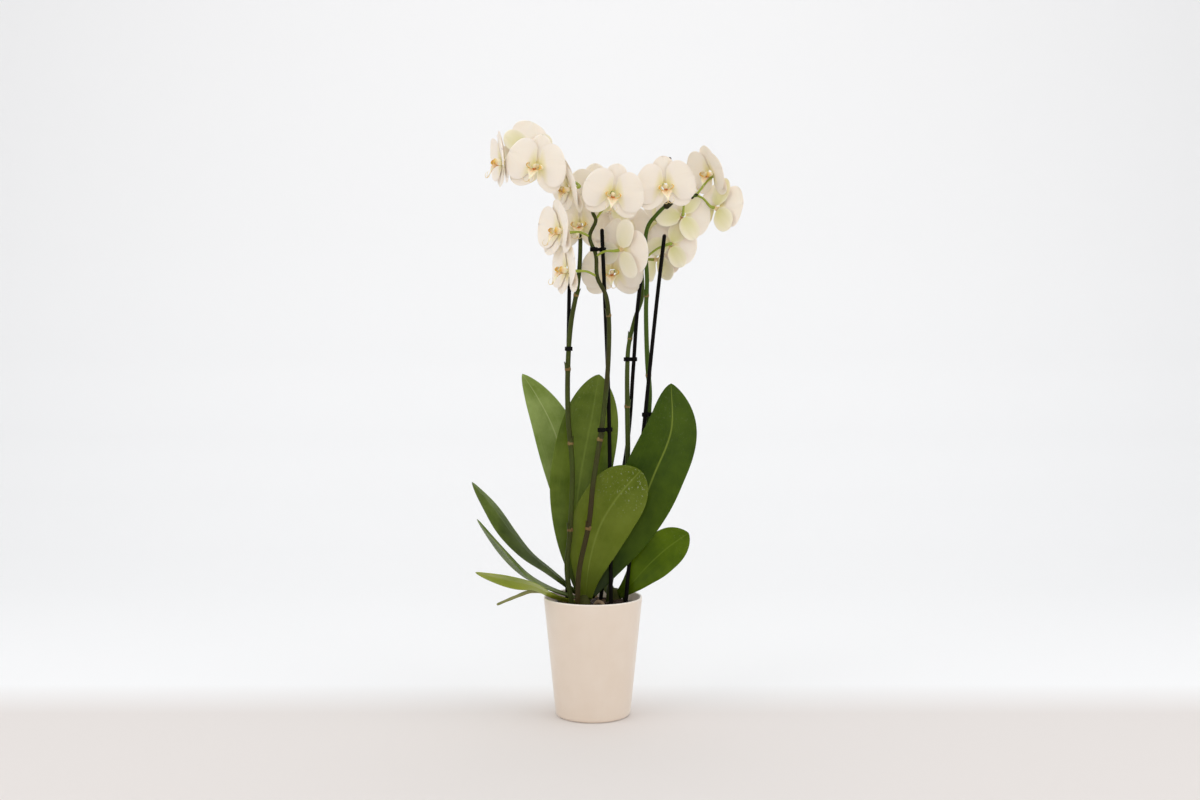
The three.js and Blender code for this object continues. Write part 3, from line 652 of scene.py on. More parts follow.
sheath = sheath_skin()
for name, (x, y) in CROWNS.items():
    mesh = bmesh.new()
    low, top = BARK_TOP - SUNK, BARK_TOP + CROWN_RISE
    spun(
        mesh,
        [
            (0, low), (0.6 * CROWN_RADIUS, low), (CROWN_RADIUS, BARK_TOP - SUNK / 2),
            (CROWN_RADIUS, BARK_TOP + 0.004), (0.9 * CROWN_RADIUS, BARK_TOP + 0.005),
            (0.93 * CROWN_RADIUS, BARK_TOP + 0.010), (0.82 * CROWN_RADIUS, BARK_TOP + 0.011),
            (0.8 * CROWN_RADIUS, top - 0.004), (0.5 * CROWN_RADIUS, top - 0.001), (0, top),
        ],
        CROWN_SIDES,
    )
    bmesh.ops.translate(mesh, vec=(x, y, 0), verts=mesh.verts)
    piece(name + "_sheaths", mesh, [sheath], "crown", name)


# ---------------------------------------------------------------- aerial roots
# Fat roots in a spongy skin: an olive one that wanders out over the rim, and a dry brown one that
# dips back into the bark.
ROOT_RADIUS, ROOT_STEP, ROOT_SIDES = 0.0028, 0.0025, 16
ROOTS = {
    "root_left": [
        (-0.034, 0, 0.14), (-0.048, -0.004, 0.158), (-0.064, -0.006, 0.165), (-0.081, -0.008, 0.167),
        (-0.104, -0.008, 0.159), (-0.127, -0.006, 0.149),
    ],
    "root_front": [
        (-0.002, -0.026, 0.14), (0.006, -0.034, 0.157), (0.014, -0.044, 0.155), (0.012, -0.052, 0.146),
    ],
}


# Velamen: a spongy dead-cell skin, darker where damp and paler where dry, finely wrinkled.
def root_skin(name, damp, dry):
    material, tree, shader = start(name, Roughness=0.7, Specular_IOR_Level=0.3)
    place = add(tree, "TexCoord", {}).outputs["Object"]
    patch = add(tree, "TexNoise", {"Vector": place, "Scale": 70, "Detail": 4})
    crease = add(tree, "TexNoise", {"Vector": place, "Scale": 800, "Detail": 3})
    tint = add(tree, "Mix", {SHARE: patch, FIRST: damp, SECOND: dry}, data_type="RGBA")
    relief = add(tree, "Bump", {"Height": crease, "Strength": 0.4, "Distance": 0.0006})
    wire(tree, shader, {"Base Color": tint, "Normal": relief})
    return material


velamen = {
    "root_left": root_skin("olive_velamen", "#6C7230", "#9A9868"),
    "root_front": root_skin("dry_velamen", "#5E4A36", "#9A8468"),
}
for name, route in ROOTS.items():
    mesh = bmesh.new()
    tube(
        mesh, smooth_line(route, ROOT_STEP),
        lambda s: ROOT_RADIUS * (1 - 0.4 * max(0, 2 * s - 1)) * (1 + 0.06 * math.sin(40 * s)), ROOT_SIDES,
    )
    bmesh.ops.recalc_face_normals(mesh, faces=mesh.faces)
    piece(name + "_skin", mesh, [velamen[name]], "aerial_root", name)


# ---------------------------------------------------------------- flower stems
# Four arching stems with a swollen ring and a papery scale leaf at each node, and a slender stalk
# to each flower. A stem's nodes are given as shares of its length.
STEM_FOOT, STEM_TIP = 0.0034, 0.0023
STEM_STEP, STEM_SIDES = 0.003, 16
SWELL, SWELL_LONG, RING_RADIUS, RING_HALF = 0.22, 0.0022, 1.24, 0.0006
SCALE_LONG, SCALE_THICK, SCALE_HUG, SCALE_GAP = 0.011, 0.0007, math.radians(105), 0.0004
STALK_RADIUS, STALK_FLARE, STALK_STRAIGHT, STALK_ARCH = 0.0015, 0.0023, 0.009, 0.003
STALK_STEP, STALK_SIDES = 0.0015, 12
HUB_BACK = 0.0035
RING_TONE, STALK_TONE, WITHERED_TONE = 2, 3, 4
FOOT_BLEND, FOOT_SHARE = 0.12, 0.85
SPIKES = {
    "spike_1": {
        "route": [
            (-0.027, -0.034, 0.147), (-0.034, -0.034, 0.2), (-0.03, -0.032, 0.249),
            (-0.027, -0.023, 0.333), (-0.033, -0.011, 0.402), (-0.033, -0.002, 0.475),
            (-0.029, -0.001, 0.525), (-0.02, -0.001, 0.576), (-0.017, 0.014, 0.625),
            (-0.019, 0.038, 0.665), (-0.03, 0.041, 0.7), (-0.05, 0.031, 0.73), (-0.076, 0.012, 0.75),
            (-0.104, 0.004, 0.752),
        ],
        "nodes": (0.2, 0.36, 0.5, 0.64),
    },
    "spike_2": {
        "route": [
            (-0.02, -0.042, 0.147), (-0.018, -0.046, 0.199), (-0.005, -0.044, 0.262),
            (0, -0.037, 0.31), (0.005, -0.029, 0.344), (0.013, -0.02, 0.395), (0.02, -0.023, 0.468),
            (0.021, -0.026, 0.53), (0.017, -0.027, 0.56), (0.006, -0.026, 0.583),
            (0.004, -0.025, 0.612), (-0.004, -0.025, 0.637), (0.004, -0.027, 0.658),
            (0, -0.027, 0.668), (0.004, -0.03, 0.684),
        ],
        "nodes": (0.25, 0.45, 0.73),
    },
    "spike_3": {
        "route": [
            (0.02, 0.008, 0.147), (0.034, 0.012, 0.239), (0.046, 0.012, 0.33), (0.046, 0.012, 0.412),
            (0.046, 0.014, 0.463), (0.048, 0.02, 0.494), (0.057, 0.028, 0.532), (0.066, 0.031, 0.558),
            (0.066, 0.032, 0.594), (0.062, 0.036, 0.626), (0.058, 0.042, 0.645),
        ],
        "nodes": (0.35, 0.56, 0.73),
    },
    "spike_4": {
        "route": [
            (0.043, 0.02, 0.147), (0.058, 0.025, 0.204), (0.068, 0.02, 0.285), (0.073, 0.015, 0.353),
            (0.075, 0.0125, 0.404), (0.076, 0.013, 0.432), (0.073, 0.014, 0.474), (0.071, 0.01, 0.542),
            (0.072, 0.003, 0.581), (0.07, -0.001, 0.618), (0.07, -0.005, 0.64), (0.074, -0.01, 0.654),
            (0.082, -0.018, 0.664), (0.093, -0.022, 0.675), (0.104, -0.024, 0.682),
            (0.12, -0.022, 0.689), (0.136, -0.012, 0.692),
        ],
        "nodes": (0.35, 0.55, 0.72),
    },
}

# Each flower: the stem that bears it, where its stalk leaves the stem, its hub, the way it faces
# (yaw to the viewer's right, pitch up and roll clockwise, in degrees), how steeply it cups, in
# degrees, and its size against a full one.
BLOOMS = {
    "bloom_01": ("spike_1", (-0.104, 0.004, 0.752), (-0.119, 0.004, 0.737), (-75, -5, 0), 8, 1),
    "bloom_02": ("spike_1", (-0.074, 0.012, 0.752), (-0.072, -0.04, 0.725), (-20, -10, 15), 4, 1),
    "bloom_03": ("spike_1", (-0.085, 0.009, 0.753), (-0.087, 0.043, 0.758), (-147, 2, 62), 6, 1),
    "bloom_04": ("spike_1", (-0.044, 0.03, 0.722), (-0.029, -0.024, 0.699), (-68, -15, 10), 8, 1),
    "bloom_05": ("spike_1", (-0.03, 0.041, 0.7), (0.003, 0.027, 0.697), (0, -10, 0), 4, 1),
    "bloom_06": ("spike_2", (0.004, -0.028, 0.684), (0.026, -0.056, 0.688), (0, -18, 10), 4, 0.95),
    "bloom_07": ("spike_4", (0.104, -0.024, 0.682), (0.093, -0.046, 0.699), (8, -18, -8), 4, 0.95),
    "bloom_08": ("spike_4", (0.136, -0.012, 0.692), (0.158, 0.006, 0.723), (-58, -18, 8), 12, 0.93),
    "bloom_09": ("spike_4", (0.136, -0.012, 0.692), (0.164, 0.002, 0.676), (131, -12, -10), 6, 1),
    "bloom_10": ("spike_4", (0.12, -0.022, 0.689), (0.119, -0.004, 0.667), (178, 0, -28), 6, 0.88),
    "bloom_11": ("spike_4", (0.071, -0.001, 0.612), (0.104, 0.005, 0.629), (172, 0, -28), 6, 0.82),
    "bloom_12": ("spike_4", (0.074, -0.01, 0.654), (0.089, 0.021, 0.66), (160, -8, 0), 8, 0.75),
    "bloom_13": ("spike_3", (0.058, 0.042, 0.645), (0.046, 0.02, 0.653), (-15, 10, 0), 6, 0.76),
    "bloom_14": ("spike_1", (-0.018, 0.02, 0.64), (-0.017, 0.018, 0.654), (-10, 0, 0), 4, 1),
    "bloom_15": ("spike_2", (-0.004, -0.025, 0.637), (-0.04, -0.044, 0.641), (-60, 0, 0), 14, 1),
    "bloom_16": ("spike_2", (0.006, -0.02, 0.583), (-0.032, -0.04, 0.591), (-68, 0, 0), 6, 1),
    "bloom_17": ("spike_3", (0.066, 0.032, 0.594), (0.026, 0.014, 0.592), (-6, -10, 0), 4, 1),
    "bloom_18": ("spike_2", (0.004, -0.023, 0.612), (0.037, -0.03, 0.619), (135, 10, -28), 4, 1),
    "bloom_19": ("spike_3", (0.062, 0.032, 0.605), (0.087, 0.052, 0.612), (120, 0, 0), 10, 1),
    "bloom_20": ("spike_2", (0.004, -0.027, 0.658), (0.028, -0.014, 0.682), (168, -2, -24), 4, 0.78),
}


def facing(yaw, pitch):
    """The direction that a flower turned by yaw and pitch faces."""
    yaw, pitch = math.radians(yaw), math.radians(pitch)
    return Vector((math.sin(yaw) * math.cos(pitch), -math.cos(yaw) * math.cos(pitch), math.sin(pitch)))


def stem_radius(s):
    """A stem's radius at that share of it: even in its lower half, then tapering."""
    return mixed(STEM_FOOT, STEM_TIP, max(0, 2 * s - 1))


def scale_leaf(mesh, line, at, side):
    """The papery scale that clasps the stem at a node, its point standing off to one side."""
    foot, ahead = along_line(line, at)
    out = Vector((side, -0.35, 0))
    out = (out - ahead * out.dot(ahead)).normalized()
    beside = ahead.cross(out)
    hold = stem_radius(at) + SCALE_GAP

    def place(s, v):
        turn = v * SCALE_HUG * (1 - s**1.6)
        stand = hold * (1 + 0.35 * s * s)
        round_stem = math.cos(turn) * out + math.sin(turn) * beside
        return foot + ahead * (SCALE_LONG * s - 0.001) + stand * round_stem

    def thickness(s, v):
        return SCALE_THICK * min(1, 6 * (1 - s), 4 * (1 - abs(v)), 8 * s) ** 0.5

    blade(mesh, 10, 10, place, thickness)


# Living stem under a satin skin: green, flushed with a second tone in places, with pale flecks,
# and darkening to its foot's tone below `foot_top`.
def stem_skin(name, green, shade, blend, foot_tone, foot_top):
    material, tree, shader = start(
        name, Roughness=0.42, Specular_IOR_Level=0.15, Subsurface_Weight=0.05, Subsurface_Scale=0.001
    )
    place = add(tree, "TexCoord", {}).outputs["Object"]
    tall = add(tree, "Mapping", {"Vector": place, "Scale": (1, 1, 0.25)})
    patch = add(tree, "TexNoise", {"Vector": tall, "Scale": 60, "Detail": 4, "Roughness": 0.6})
    fleck = add(tree, "TexNoise", {"Vector": tall, "Scale": 900, "Detail": 2})
    share = add(tree, "MapRange", {VALUE: patch, FROM: 0.35, TO: 0.65, MOST: blend})
    tint = add(tree, "Mix", {SHARE: share, FIRST: green, SECOND: shade}, data_type="RGBA")
    spots = add(tree, "MapRange", {VALUE: fleck, FROM: 0.62, TO: 0.75, MOST: 0.3})
    flecked = add(tree, "Mix", {SHARE: spots, FIRST: tint, SECOND: "#7C7E3C"}, data_type="RGBA")
    height = add(tree, "SeparateXYZ", {"Vector": place}).outputs["Z"]
    low = add(tree, "MapRange", {VALUE: height, FROM: foot_top, TO: foot_top - FOOT_BLEND, MOST: FOOT_SHARE})
    footed = add(tree, "Mix", {SHARE: low, FIRST: flecked, SECOND: foot_tone}, data_type="RGBA")
    relief = add(tree, "Bump", {"Height": fleck, "Strength": 0.12, "Distance": 0.0003})
    wire(tree, shader, {"Base Color": footed, "Normal": relief})
    return material


# Dry scale leaves and node rings are papery straw with brown patches, a withered tip is nearly
# black, and the flowers' stalks are a fresh yellow green.
dry_scale = stem_skin("dry_papery_scale", "#8A7444", "#5C4426", 0.8, "#4A3820", 0.2)
withered = stem_skin("withered_tip", "#26280F", "#2E2012", 0.9, "#26280F", 0.2)
stalk_green = stem_skin("flower_stalk_skin", "#8C9C38", "#A8AE52", 0.8, "#8C9C38", 0.2)
STEM_TONES = {
    "spike_1": ("#3C480E", "#302C0C", 0.6, "#2A3006", 0.26),
    "spike_2": ("#3A4A12", "#362C12", 0.9, "#33280E", 0.4),
    "spike_3": ("#44541A", "#3A3A14", 0.5, "#2A3006", 0.3),
    "spike_4": ("#425A18", "#404C14", 0.4, "#2A3006", 0.3),
}
# Withered tips and buds on the upper part of a stem: where each is across the picture, and its
# half thickness. Each is a short hooked knob.
WITHERED_ABOVE = 0.6
WITHERED_HOOK = ((-1.2, 0, -0.9), (0, 0, 0), (0.9, -0.2, 0.5), (1.6, -0.4, 0.3))
WITHERED = {
    "spike_2": [(-0.0005, 0.0012)],
    "spike_4": [(0.101, 0.0046), (0.134, 0.0026)],
}
for name, spike in SPIKES.items():
    mesh = bmesh.new()
    line = smooth_line(rooted(spike["route"]), STEM_STEP)
    nodes = spike["nodes"]
    length = STEM_STEP * len(line)

    def swollen(s):
        rise = sum(math.exp(-(((s - at) * length / SWELL_LONG) ** 2)) for at in nodes)
        return stem_radius(s) * (1 + SWELL * rise)

    tube(mesh, line, swollen, STEM_SIDES)
    for k, at in enumerate(nodes):
        scale_leaf(mesh, line, at, 1 if k % 2 else -1)
        ring, ahead = along_line(line, at)
        rim = [ring - ahead * RING_HALF, ring, ring + ahead * RING_HALF]
        tube(mesh, rim, lambda s: stem_radius(at) * RING_RADIUS, STEM_SIDES, RING_TONE)
    for stem, fork, hub, face, _, size in BLOOMS.values():
        if stem != name:
            continue
        begin = min(line, key=lambda spot: (spot - Vector(fork)).length)
        ahead = facing(*face[:2])
        end = Vector(hub) - ahead * HUB_BACK * size
        before = end - ahead * STALK_STRAIGHT
        middle = begin.lerp(before, 0.5) + Vector((0, 0, STALK_ARCH))
        tube(
            mesh, smooth_line([begin, middle, before, end], STALK_STEP),
            lambda s: mixed(STALK_RADIUS, STALK_FLARE, max(0, 2 * s - 1) ** 0.7), STALK_SIDES, STALK_TONE,
        )
    for x, knob in WITHERED.get(name, []):
        spot = min((s for s in line if s.z > WITHERED_ABOVE), key=lambda s: abs(s.x - x))
        hooked = [spot + Vector(step) * knob for step in WITHERED_HOOK]
        tube(mesh, hooked, lambda s: knob * (0.95 - 0.5 * s), STALK_SIDES, WITHERED_TONE)
    bmesh.ops.recalc_face_normals(mesh, faces=mesh.faces)
    skins = [stem_skin(name + "_skin", *STEM_TONES[name]), dry_scale, dry_scale, stalk_green, withered]
    piece(name + "_stem", mesh, skins, "flower_stem", name)


# ---------------------------------------------------------------- clips
# Small black moulded clips that hold a stem to its stake: a ring round each, joined by a web.
CLIP_HEIGHT, CLIP_WALL, CLIP_SOFT, CLIP_SIDES = 0.0055, 0.0016, 0.0004, 32
CLIP_PLAY, CLIP_STEP, WEB_DEEP, WEB_LEAST = 0.0002, 0.0005, 0.004, 0.001
CLIPS = {
    "clip_1": ("stake_1", "spike_1", 0.49),
    "clip_2": ("stake_2", "spike_2", 0.383),
    "clip_3": ("stake_2", "spike_2", 0.62),
    "clip_4": ("stake_3", "spike_3", 0.476),
    "clip_5": ("stake_4", "spike_4", 0.402),
}


def at_height(line, height):
    """The point of a line that is nearest to that height."""
    return min(line, key=lambda spot: abs(spot.z - height))


def collar(mesh, centre, inner):
    """A moulded ring with softened edges, upright round a point."""
    half, outer, soft = CLIP_HEIGHT / 2, inner + CLIP_WALL, CLIP_SOFT
    ring = [
        (inner, -half + soft), (inner + soft, -half), (outer - soft, -half), (outer, -half + soft),
        (outer, half - soft), (outer - soft, half), (inner + soft, half), (inner, half - soft),
        (inner, -half + soft),
    ]
    made = bmesh.new()
    spun(made, ring, CLIP_SIDES)
    bmesh.ops.translate(made, vec=centre, verts=made.verts)
    loose = bpy.data.meshes.new("collar")
    made.to_mesh(loose)
    made.free()
    mesh.from_mesh(loose)
    bpy.data.meshes.remove(loose)


clip_skin = black_plastic("black_moulded_nylon")
for name, (stake, spike, height) in CLIPS.items():
    mesh = bmesh.new()
    rod = at_height(smooth_line(rooted(STAKES[stake]), CLIP_STEP), height)
    stem = at_height(smooth_line(rooted(SPIKES[spike]["route"]), CLIP_STEP), height)
    rod.z = stem.z = height
    collar(mesh, rod, STAKE_RADIUS + CLIP_PLAY)
    collar(mesh, stem, STEM_FOOT + CLIP_PLAY)
    web = bmesh.ops.create_cube(mesh, size=1)["verts"]
    gap = stem - rod
    long = max(WEB_LEAST, gap.length - STAKE_RADIUS - STEM_FOOT)
    thick = Matrix.Diagonal((long, WEB_DEEP, 0.7 * CLIP_HEIGHT, 1))
    turned = Matrix.Rotation(math.atan2(gap.y, gap.x), 4, "Z")
    middle = rod + gap.normalized() * (gap.length + STAKE_RADIUS - STEM_FOOT) / 2
    bmesh.ops.transform(mesh, matrix=Matrix.Translation(middle) @ turned @ thick, verts=web)
    piece(name + "_tie", mesh, [clip_skin], "clip", name)


# ---------------------------------------------------------------- flowers
# Each flower has three sepals behind, two broad petals before them, a three-lobed lip with a pair
# of tendrils, and a short column. All grow from one hub and lie a little over each other.

# Length, width and turn from upright of the top sepal, the two lower sepals and the two petals.
DORSAL, LATERAL, PETAL = (0.043, 0.032, 0), (0.042, 0.030, 125), (0.043, 0.058, 72)
PETAL_THICK, LIP_THICK, EAR_THICK = 0.0008, 0.0013, 0.0009
LIGHT_THROUGH = 0.1
CLAW, CURL, CROWNED, CREASED, CREASE_WIDE = 0.17, 1.2, 0.0016, 0.0008, 0.07
SEPAL_LIFT, SEPAL_WAVE, SEPAL_FLATTER = -0.0016, 0.0010, 5
PETAL_LIFT, PETAL_WAVE = 0.0004, 0.0016
# The lip's middle lobe: its half width at foot and tip, the flare between them, its way out from
# the hub and below it, the bend of its fall and the fold of its sides.
LIP_FOOT, LIP_TIP, LIP_FLARE, FLARE_AT, FLARE_LONG = 0.0018, 0.0005, 0.0068, 0.58, 0.22
LIP_OUT, LIP_LONG, LIP_BELOW, LIP_FALL, LIP_BEND, LIP_FOLD = 0.0045, 0.0165, 0.0030, 0.0130, 0.004, 0.55
# The side lobes: the swing of their outline in degrees, half their width, how hollow they are, their
# way out, its curl back, how high they stand and how far in front of the hub.
EAR_SWING, EAR_HALF, EAR_HOLLOW = (-62, 38), 0.0062, 0.0022
EAR_OUT, EAR_REACH, EAR_CURL, EAR_BELOW, EAR_RISE = 0.0018, 0.0108, 0.003, 0.0030, 0.0085
EAR_FRONT, EAR_LEAN = 0.0078, 0.0035
TENDRIL_FOOT = Vector((0, -0.0150, 0.0208))
TENDRIL_CURVE = (
    (0, 0, 0), (0.0012, -0.0030, 0.0014), (0.0050, -0.0030, 0.0040), (0.0080, 0.0010, 0.0040),
    (0.0065, 0.0045, 0.0020),
)
TENDRIL_FOOT_RADIUS, TENDRIL_TIP_RADIUS, TENDRIL_STEP = 0.00055, 0.00022, 0.0008
CALLUS_RADIUS, CALLUS_PLACE = 0.0017, (0.0012, -0.0024, 0.0092)
COLUMN = ((0, 0, -1.06 * HUB_BACK), (0, 0, 0.003), (0, 0.002, 0.0098))
COLUMN_FOOT, COLUMN_TOP, COLUMN_CAP = 0.0029, 0.0026, 0.0006
LIP_TONE, CALLUS_TONE, COLUMN_TONE, EAR_TONE = 2, 3, 4, 5
# The flowers are a little smaller than their solids, so that no petal stands out of the solids' box.
FITTED = 0.98
PALE_BACKED = ("bloom_06", "bloom_07", "bloom_18")


def lobe_place(length, width, angle, cup, lift, wave, phase):
    """Where a sepal or petal lies: it leaves the hub as a narrow claw, broadens, and cups."""
    turned = Matrix.Rotation(math.radians(angle), 2)
    steep = math.radians(cup)

    def place(step, cross):
        turn = mixed(CLAW, 1, step) * math.pi
        v = math.sin(cross * math.pi / 2)
        q = 0.5 - 0.5 * math.cos(turn)
        out = length * q**0.85
        half = width / 2 * math.sin(turn) * min(1, 0.22 + 3.2 * out / length)
        half *= 1 + 0.02 * math.sin(5 * step + phase)
        x, y = turned @ Vector((v * half, out))
        reach = math.hypot(x, y)
        share = out / length
        z = lift + reach * math.sin(steep) + CURL * reach * reach
        z += wave * abs(v) ** 3 * math.sin(7 * share + 3 * v + phase) * share
        crown = CROWNED * (1 - v * v) * math.sin(math.pi * share)
        crease = CREASED * math.exp(-((v / CREASE_WIDE) ** 2)) * share
        z += crown - crease
        return Vector((x * math.cos(steep), y * math.cos(steep), z))

    return place


def petal_thickness(step, cross):
    """Thickness of a sepal or petal, thinning to its edges and its claw."""
    v = abs(math.sin(cross * math.pi / 2))
    return PETAL_THICK * min(1, 3 * (1 - v), 8 * (1 - step), 6 * step + 0.2) ** 0.5


def lip_lobe(mesh):
    """The middle lobe of the lip: a keeled arrowhead that runs forward and down from the hub."""
    def place(s, v):
        flare = LIP_FLARE * math.exp(-(((s - FLARE_AT) / FLARE_LONG) ** 2))
        half = mixed(LIP_FOOT, LIP_TIP, s) + flare
        forward = LIP_OUT + LIP_LONG * s
        down = -LIP_BELOW - LIP_FALL * s + LIP_BEND * math.sin(math.pi * s)
        fold = LIP_FOLD * abs(v) ** 1.3 * half
        return Vector((v * half, down + fold, forward + 0.3 * fold))

    def thick(s, v):
        return LIP_THICK * min(1, 3 * (1 - abs(v)), 6 * (1 - s) + 0.1, 6 * s + 0.3) ** 0.5

    blade(mesh, 24, 14, place, thick, 0)


def lip_ear(mesh, side):
    """A side lobe of the lip: a scoop that stands up beside the column, its rim curling in."""
    def place(s, v):
        swing = math.radians(mixed(*EAR_SWING, s))
        half = EAR_HALF * math.sin(math.pi * (0.10 + 0.84 * s)) ** 0.7
        hollow = EAR_HOLLOW * (1 - v * v) * math.sin(math.pi * s)
        x = side * (EAR_OUT + EAR_REACH * math.cos(swing) * s**0.5 + hollow - EAR_CURL * s * s)
        y = -EAR_BELOW + EAR_RISE * s**1.2
        z = EAR_FRONT + v * half + EAR_LEAN * s
        return Vector((x, y, z))

    def thick(s, v):
        return EAR_THICK * min(1, 3 * (1 - abs(v)), 6 * (1 - s) + 0.05, 8 * s + 0.2) ** 0.5

    blade(mesh, 16, 12, place, thick, 0)


def tendril(mesh, side):
    """A thread that curls away from the lip's tip to that side."""
    route = [TENDRIL_FOOT + Vector((side * x, y, z)) for x, y, z in TENDRIL_CURVE]
    tube(
        mesh, smooth_line(route, TENDRIL_STEP),
        lambda s: mixed(TENDRIL_FOOT_RADIUS, TENDRIL_TIP_RADIUS, s), 8, COLUMN_TONE,
    )


def toned(mesh, before, tone):
    """Gives the faces made since `before` were there the material of that number."""
    for face in mesh.faces:
        if face not in before:
            face.material_index = tone


def column_radius(s):
    """The column's radius at that share of it, fuller at the cap near its end."""
    return mixed(COLUMN_FOOT, COLUMN_TOP, s) + COLUMN_CAP * math.exp(-(((s - 0.9) / 0.12) ** 2))


def flower(mesh, cup, phase):
    """A whole flower that faces up from its hub; `phase` varies the waves of its petals."""
    for angle, (length, width, _) in ((0, DORSAL), (LATERAL[2], LATERAL), (-LATERAL[2], LATERAL)):
        flatter = cup - SEPAL_FLATTER
        place = lobe_place(length, width, angle, flatter, SEPAL_LIFT, SEPAL_WAVE, phase + angle)
        blade(mesh, 26, 14, place, petal_thickness)
    for angle in (-PETAL[2], PETAL[2]):
        place = lobe_place(*PETAL[:2], angle, cup, PETAL_LIFT, PETAL_WAVE, phase + 2 * angle)
        blade(mesh, 30, 26, place, petal_thickness, 0)
    before = set(mesh.faces)
    lip_lobe(mesh)
    toned(mesh, before, LIP_TONE)
    before = set(mesh.faces)
    lip_ear(mesh, 1)
    lip_ear(mesh, -1)
    toned(mesh, before, EAR_TONE)
    tendril(mesh, 1)
    tendril(mesh, -1)
    before = set(mesh.faces)
    x, y, z = CALLUS_PLACE
    for side in (-1, 1):
        moved = Matrix.Translation((side * x, y, z))
        bmesh.ops.create_uvsphere(mesh, u_segments=12, v_segments=8, radius=CALLUS_RADIUS, matrix=moved)
    toned(mesh, before, CALLUS_TONE)
    tube(mesh, smooth_line(COLUMN, 0.001), column_radius, 16, COLUMN_TONE)


# Petal tissue: thick, soft and white with a creamy cast, faintly green-yellow near the hub, with
# fanned veins that show in slight relief and a crystalline, even sheen. It lets a little light
# through.
def petal_skin(name, face_tone, hub_tone, hub_reach, hub_share):
    material, tree, shader = start(
        name, Roughness=0.6, IOR=1.3, Subsurface_Weight=0.3, Subsurface_Scale=0.001,
        Sheen_Weight=0.15, Sheen_Roughness=0.4,
    )
    shader.inputs["Subsurface Radius"].default_value = (1.0, 0.9, 0.75)
    chart = add(tree, "TexCoord", {})
    place, spread = chart.outputs["Object"], chart.outputs["UV"]
    uv = add(tree, "SeparateXYZ", {"Vector": spread})
    fan = add(tree, "Mapping", {"Vector": spread, "Scale": (30, 2.0, 1)})
    veins = add(tree, "TexNoise", {"Vector": fan, "Scale": 1, "Detail": 3, "Roughness": 0.55})
    grain = add(tree, "TexNoise", {"Vector": place, "Scale": 1400, "Detail": 2})
    centred = add(tree, "Math", {0: uv.outputs["X"], 1: 0.5}, operation="SUBTRACT")
    off = add(tree, "Math", {0: centred}, operation="ABSOLUTE")
    inward = add(tree, "MapRange", {VALUE: off, FROM: 0.5, TO: 0.12, MOST: hub_share})
    near = add(tree, "MapRange", {VALUE: uv.outputs["Y"], FROM: hub_reach, TO: 0.05})
    flush = add(tree, "Math", {0: inward, 1: near}, operation="MULTIPLY")
    lines = add(tree, "MapRange", {VALUE: veins, FROM: 0.55, TO: 0.75, MOST: 0.35})
    veined = add(tree, "Mix", {SHARE: lines, FIRST: face_tone, SECOND: "#F8EAD8"}, data_type="RGBA")
    flushed = add(tree, "Mix", {SHARE: flush, FIRST: veined, SECOND: hub_tone}, data_type="RGBA")
    glow = add(tree, "BsdfTranslucent", {"Color": flushed})
    thin = add(tree, "MixShader", {0: LIGHT_THROUGH, 1: shader, 2: glow})
    wire(tree, tree.nodes["Material Output"], {"Surface": thin})
    ribs = add(tree, "Bump", {"Height": veins, "Strength": 0.22, "Distance": 0.0006})
    sparkle = add(tree, "Bump", {"Height": grain, "Strength": 0.05, "Distance": 0.0002, "Normal": ribs})
    wire(tree, shader, {"Base Color": flushed, "Normal": sparkle})
    return material


# Lip tissue: smooth and waxy, cream at the edges and golden over the middle, with fine red-brown
# stripes that run along it.
def lip_skin(name, edge, gold, stripe, stripe_share, axis, fade):
    material, tree, shader = start(name, Roughness=0.4, Subsurface_Weight=0.2, Subsurface_Scale=0.002)
    chart = add(tree, "TexCoord", {})
    place, spread = chart.outputs["Object"], chart.outputs["UV"]
    uv = add(tree, "SeparateXYZ", {"Vector": spread})
    patch = add(tree, "TexNoise", {"Vector": place, "Scale": 260, "Detail": 3})
    near = add(tree, "MapRange", {VALUE: uv.outputs[axis], FROM: fade[0], TO: fade[1]})
    middle = add(tree, "Mix", {SHARE: near, FIRST: edge, SECOND: gold}, data_type="RGBA")
    fan = add(tree, "Mapping", {"Vector": spread, "Scale": (22, 1.6, 1)})
    bars = add(tree, "TexNoise", {"Vector": fan, "Scale": 1, "Detail": 2})
    marks = add(tree, "MapRange", {VALUE: bars, FROM: 0.50, TO: 0.60, MOST: stripe_share})
    faded = add(tree, "Math", {0: marks, 1: near}, operation="MULTIPLY")
    striped = add(tree, "Mix", {SHARE: faded, FIRST: middle, SECOND: stripe}, data_type="RGBA")
    relief = add(tree, "Bump", {"Height": patch, "Strength": 0.15, "Distance": 0.0004})
    wire(tree, shader, {"Base Color": striped, "Normal": relief})
    return material


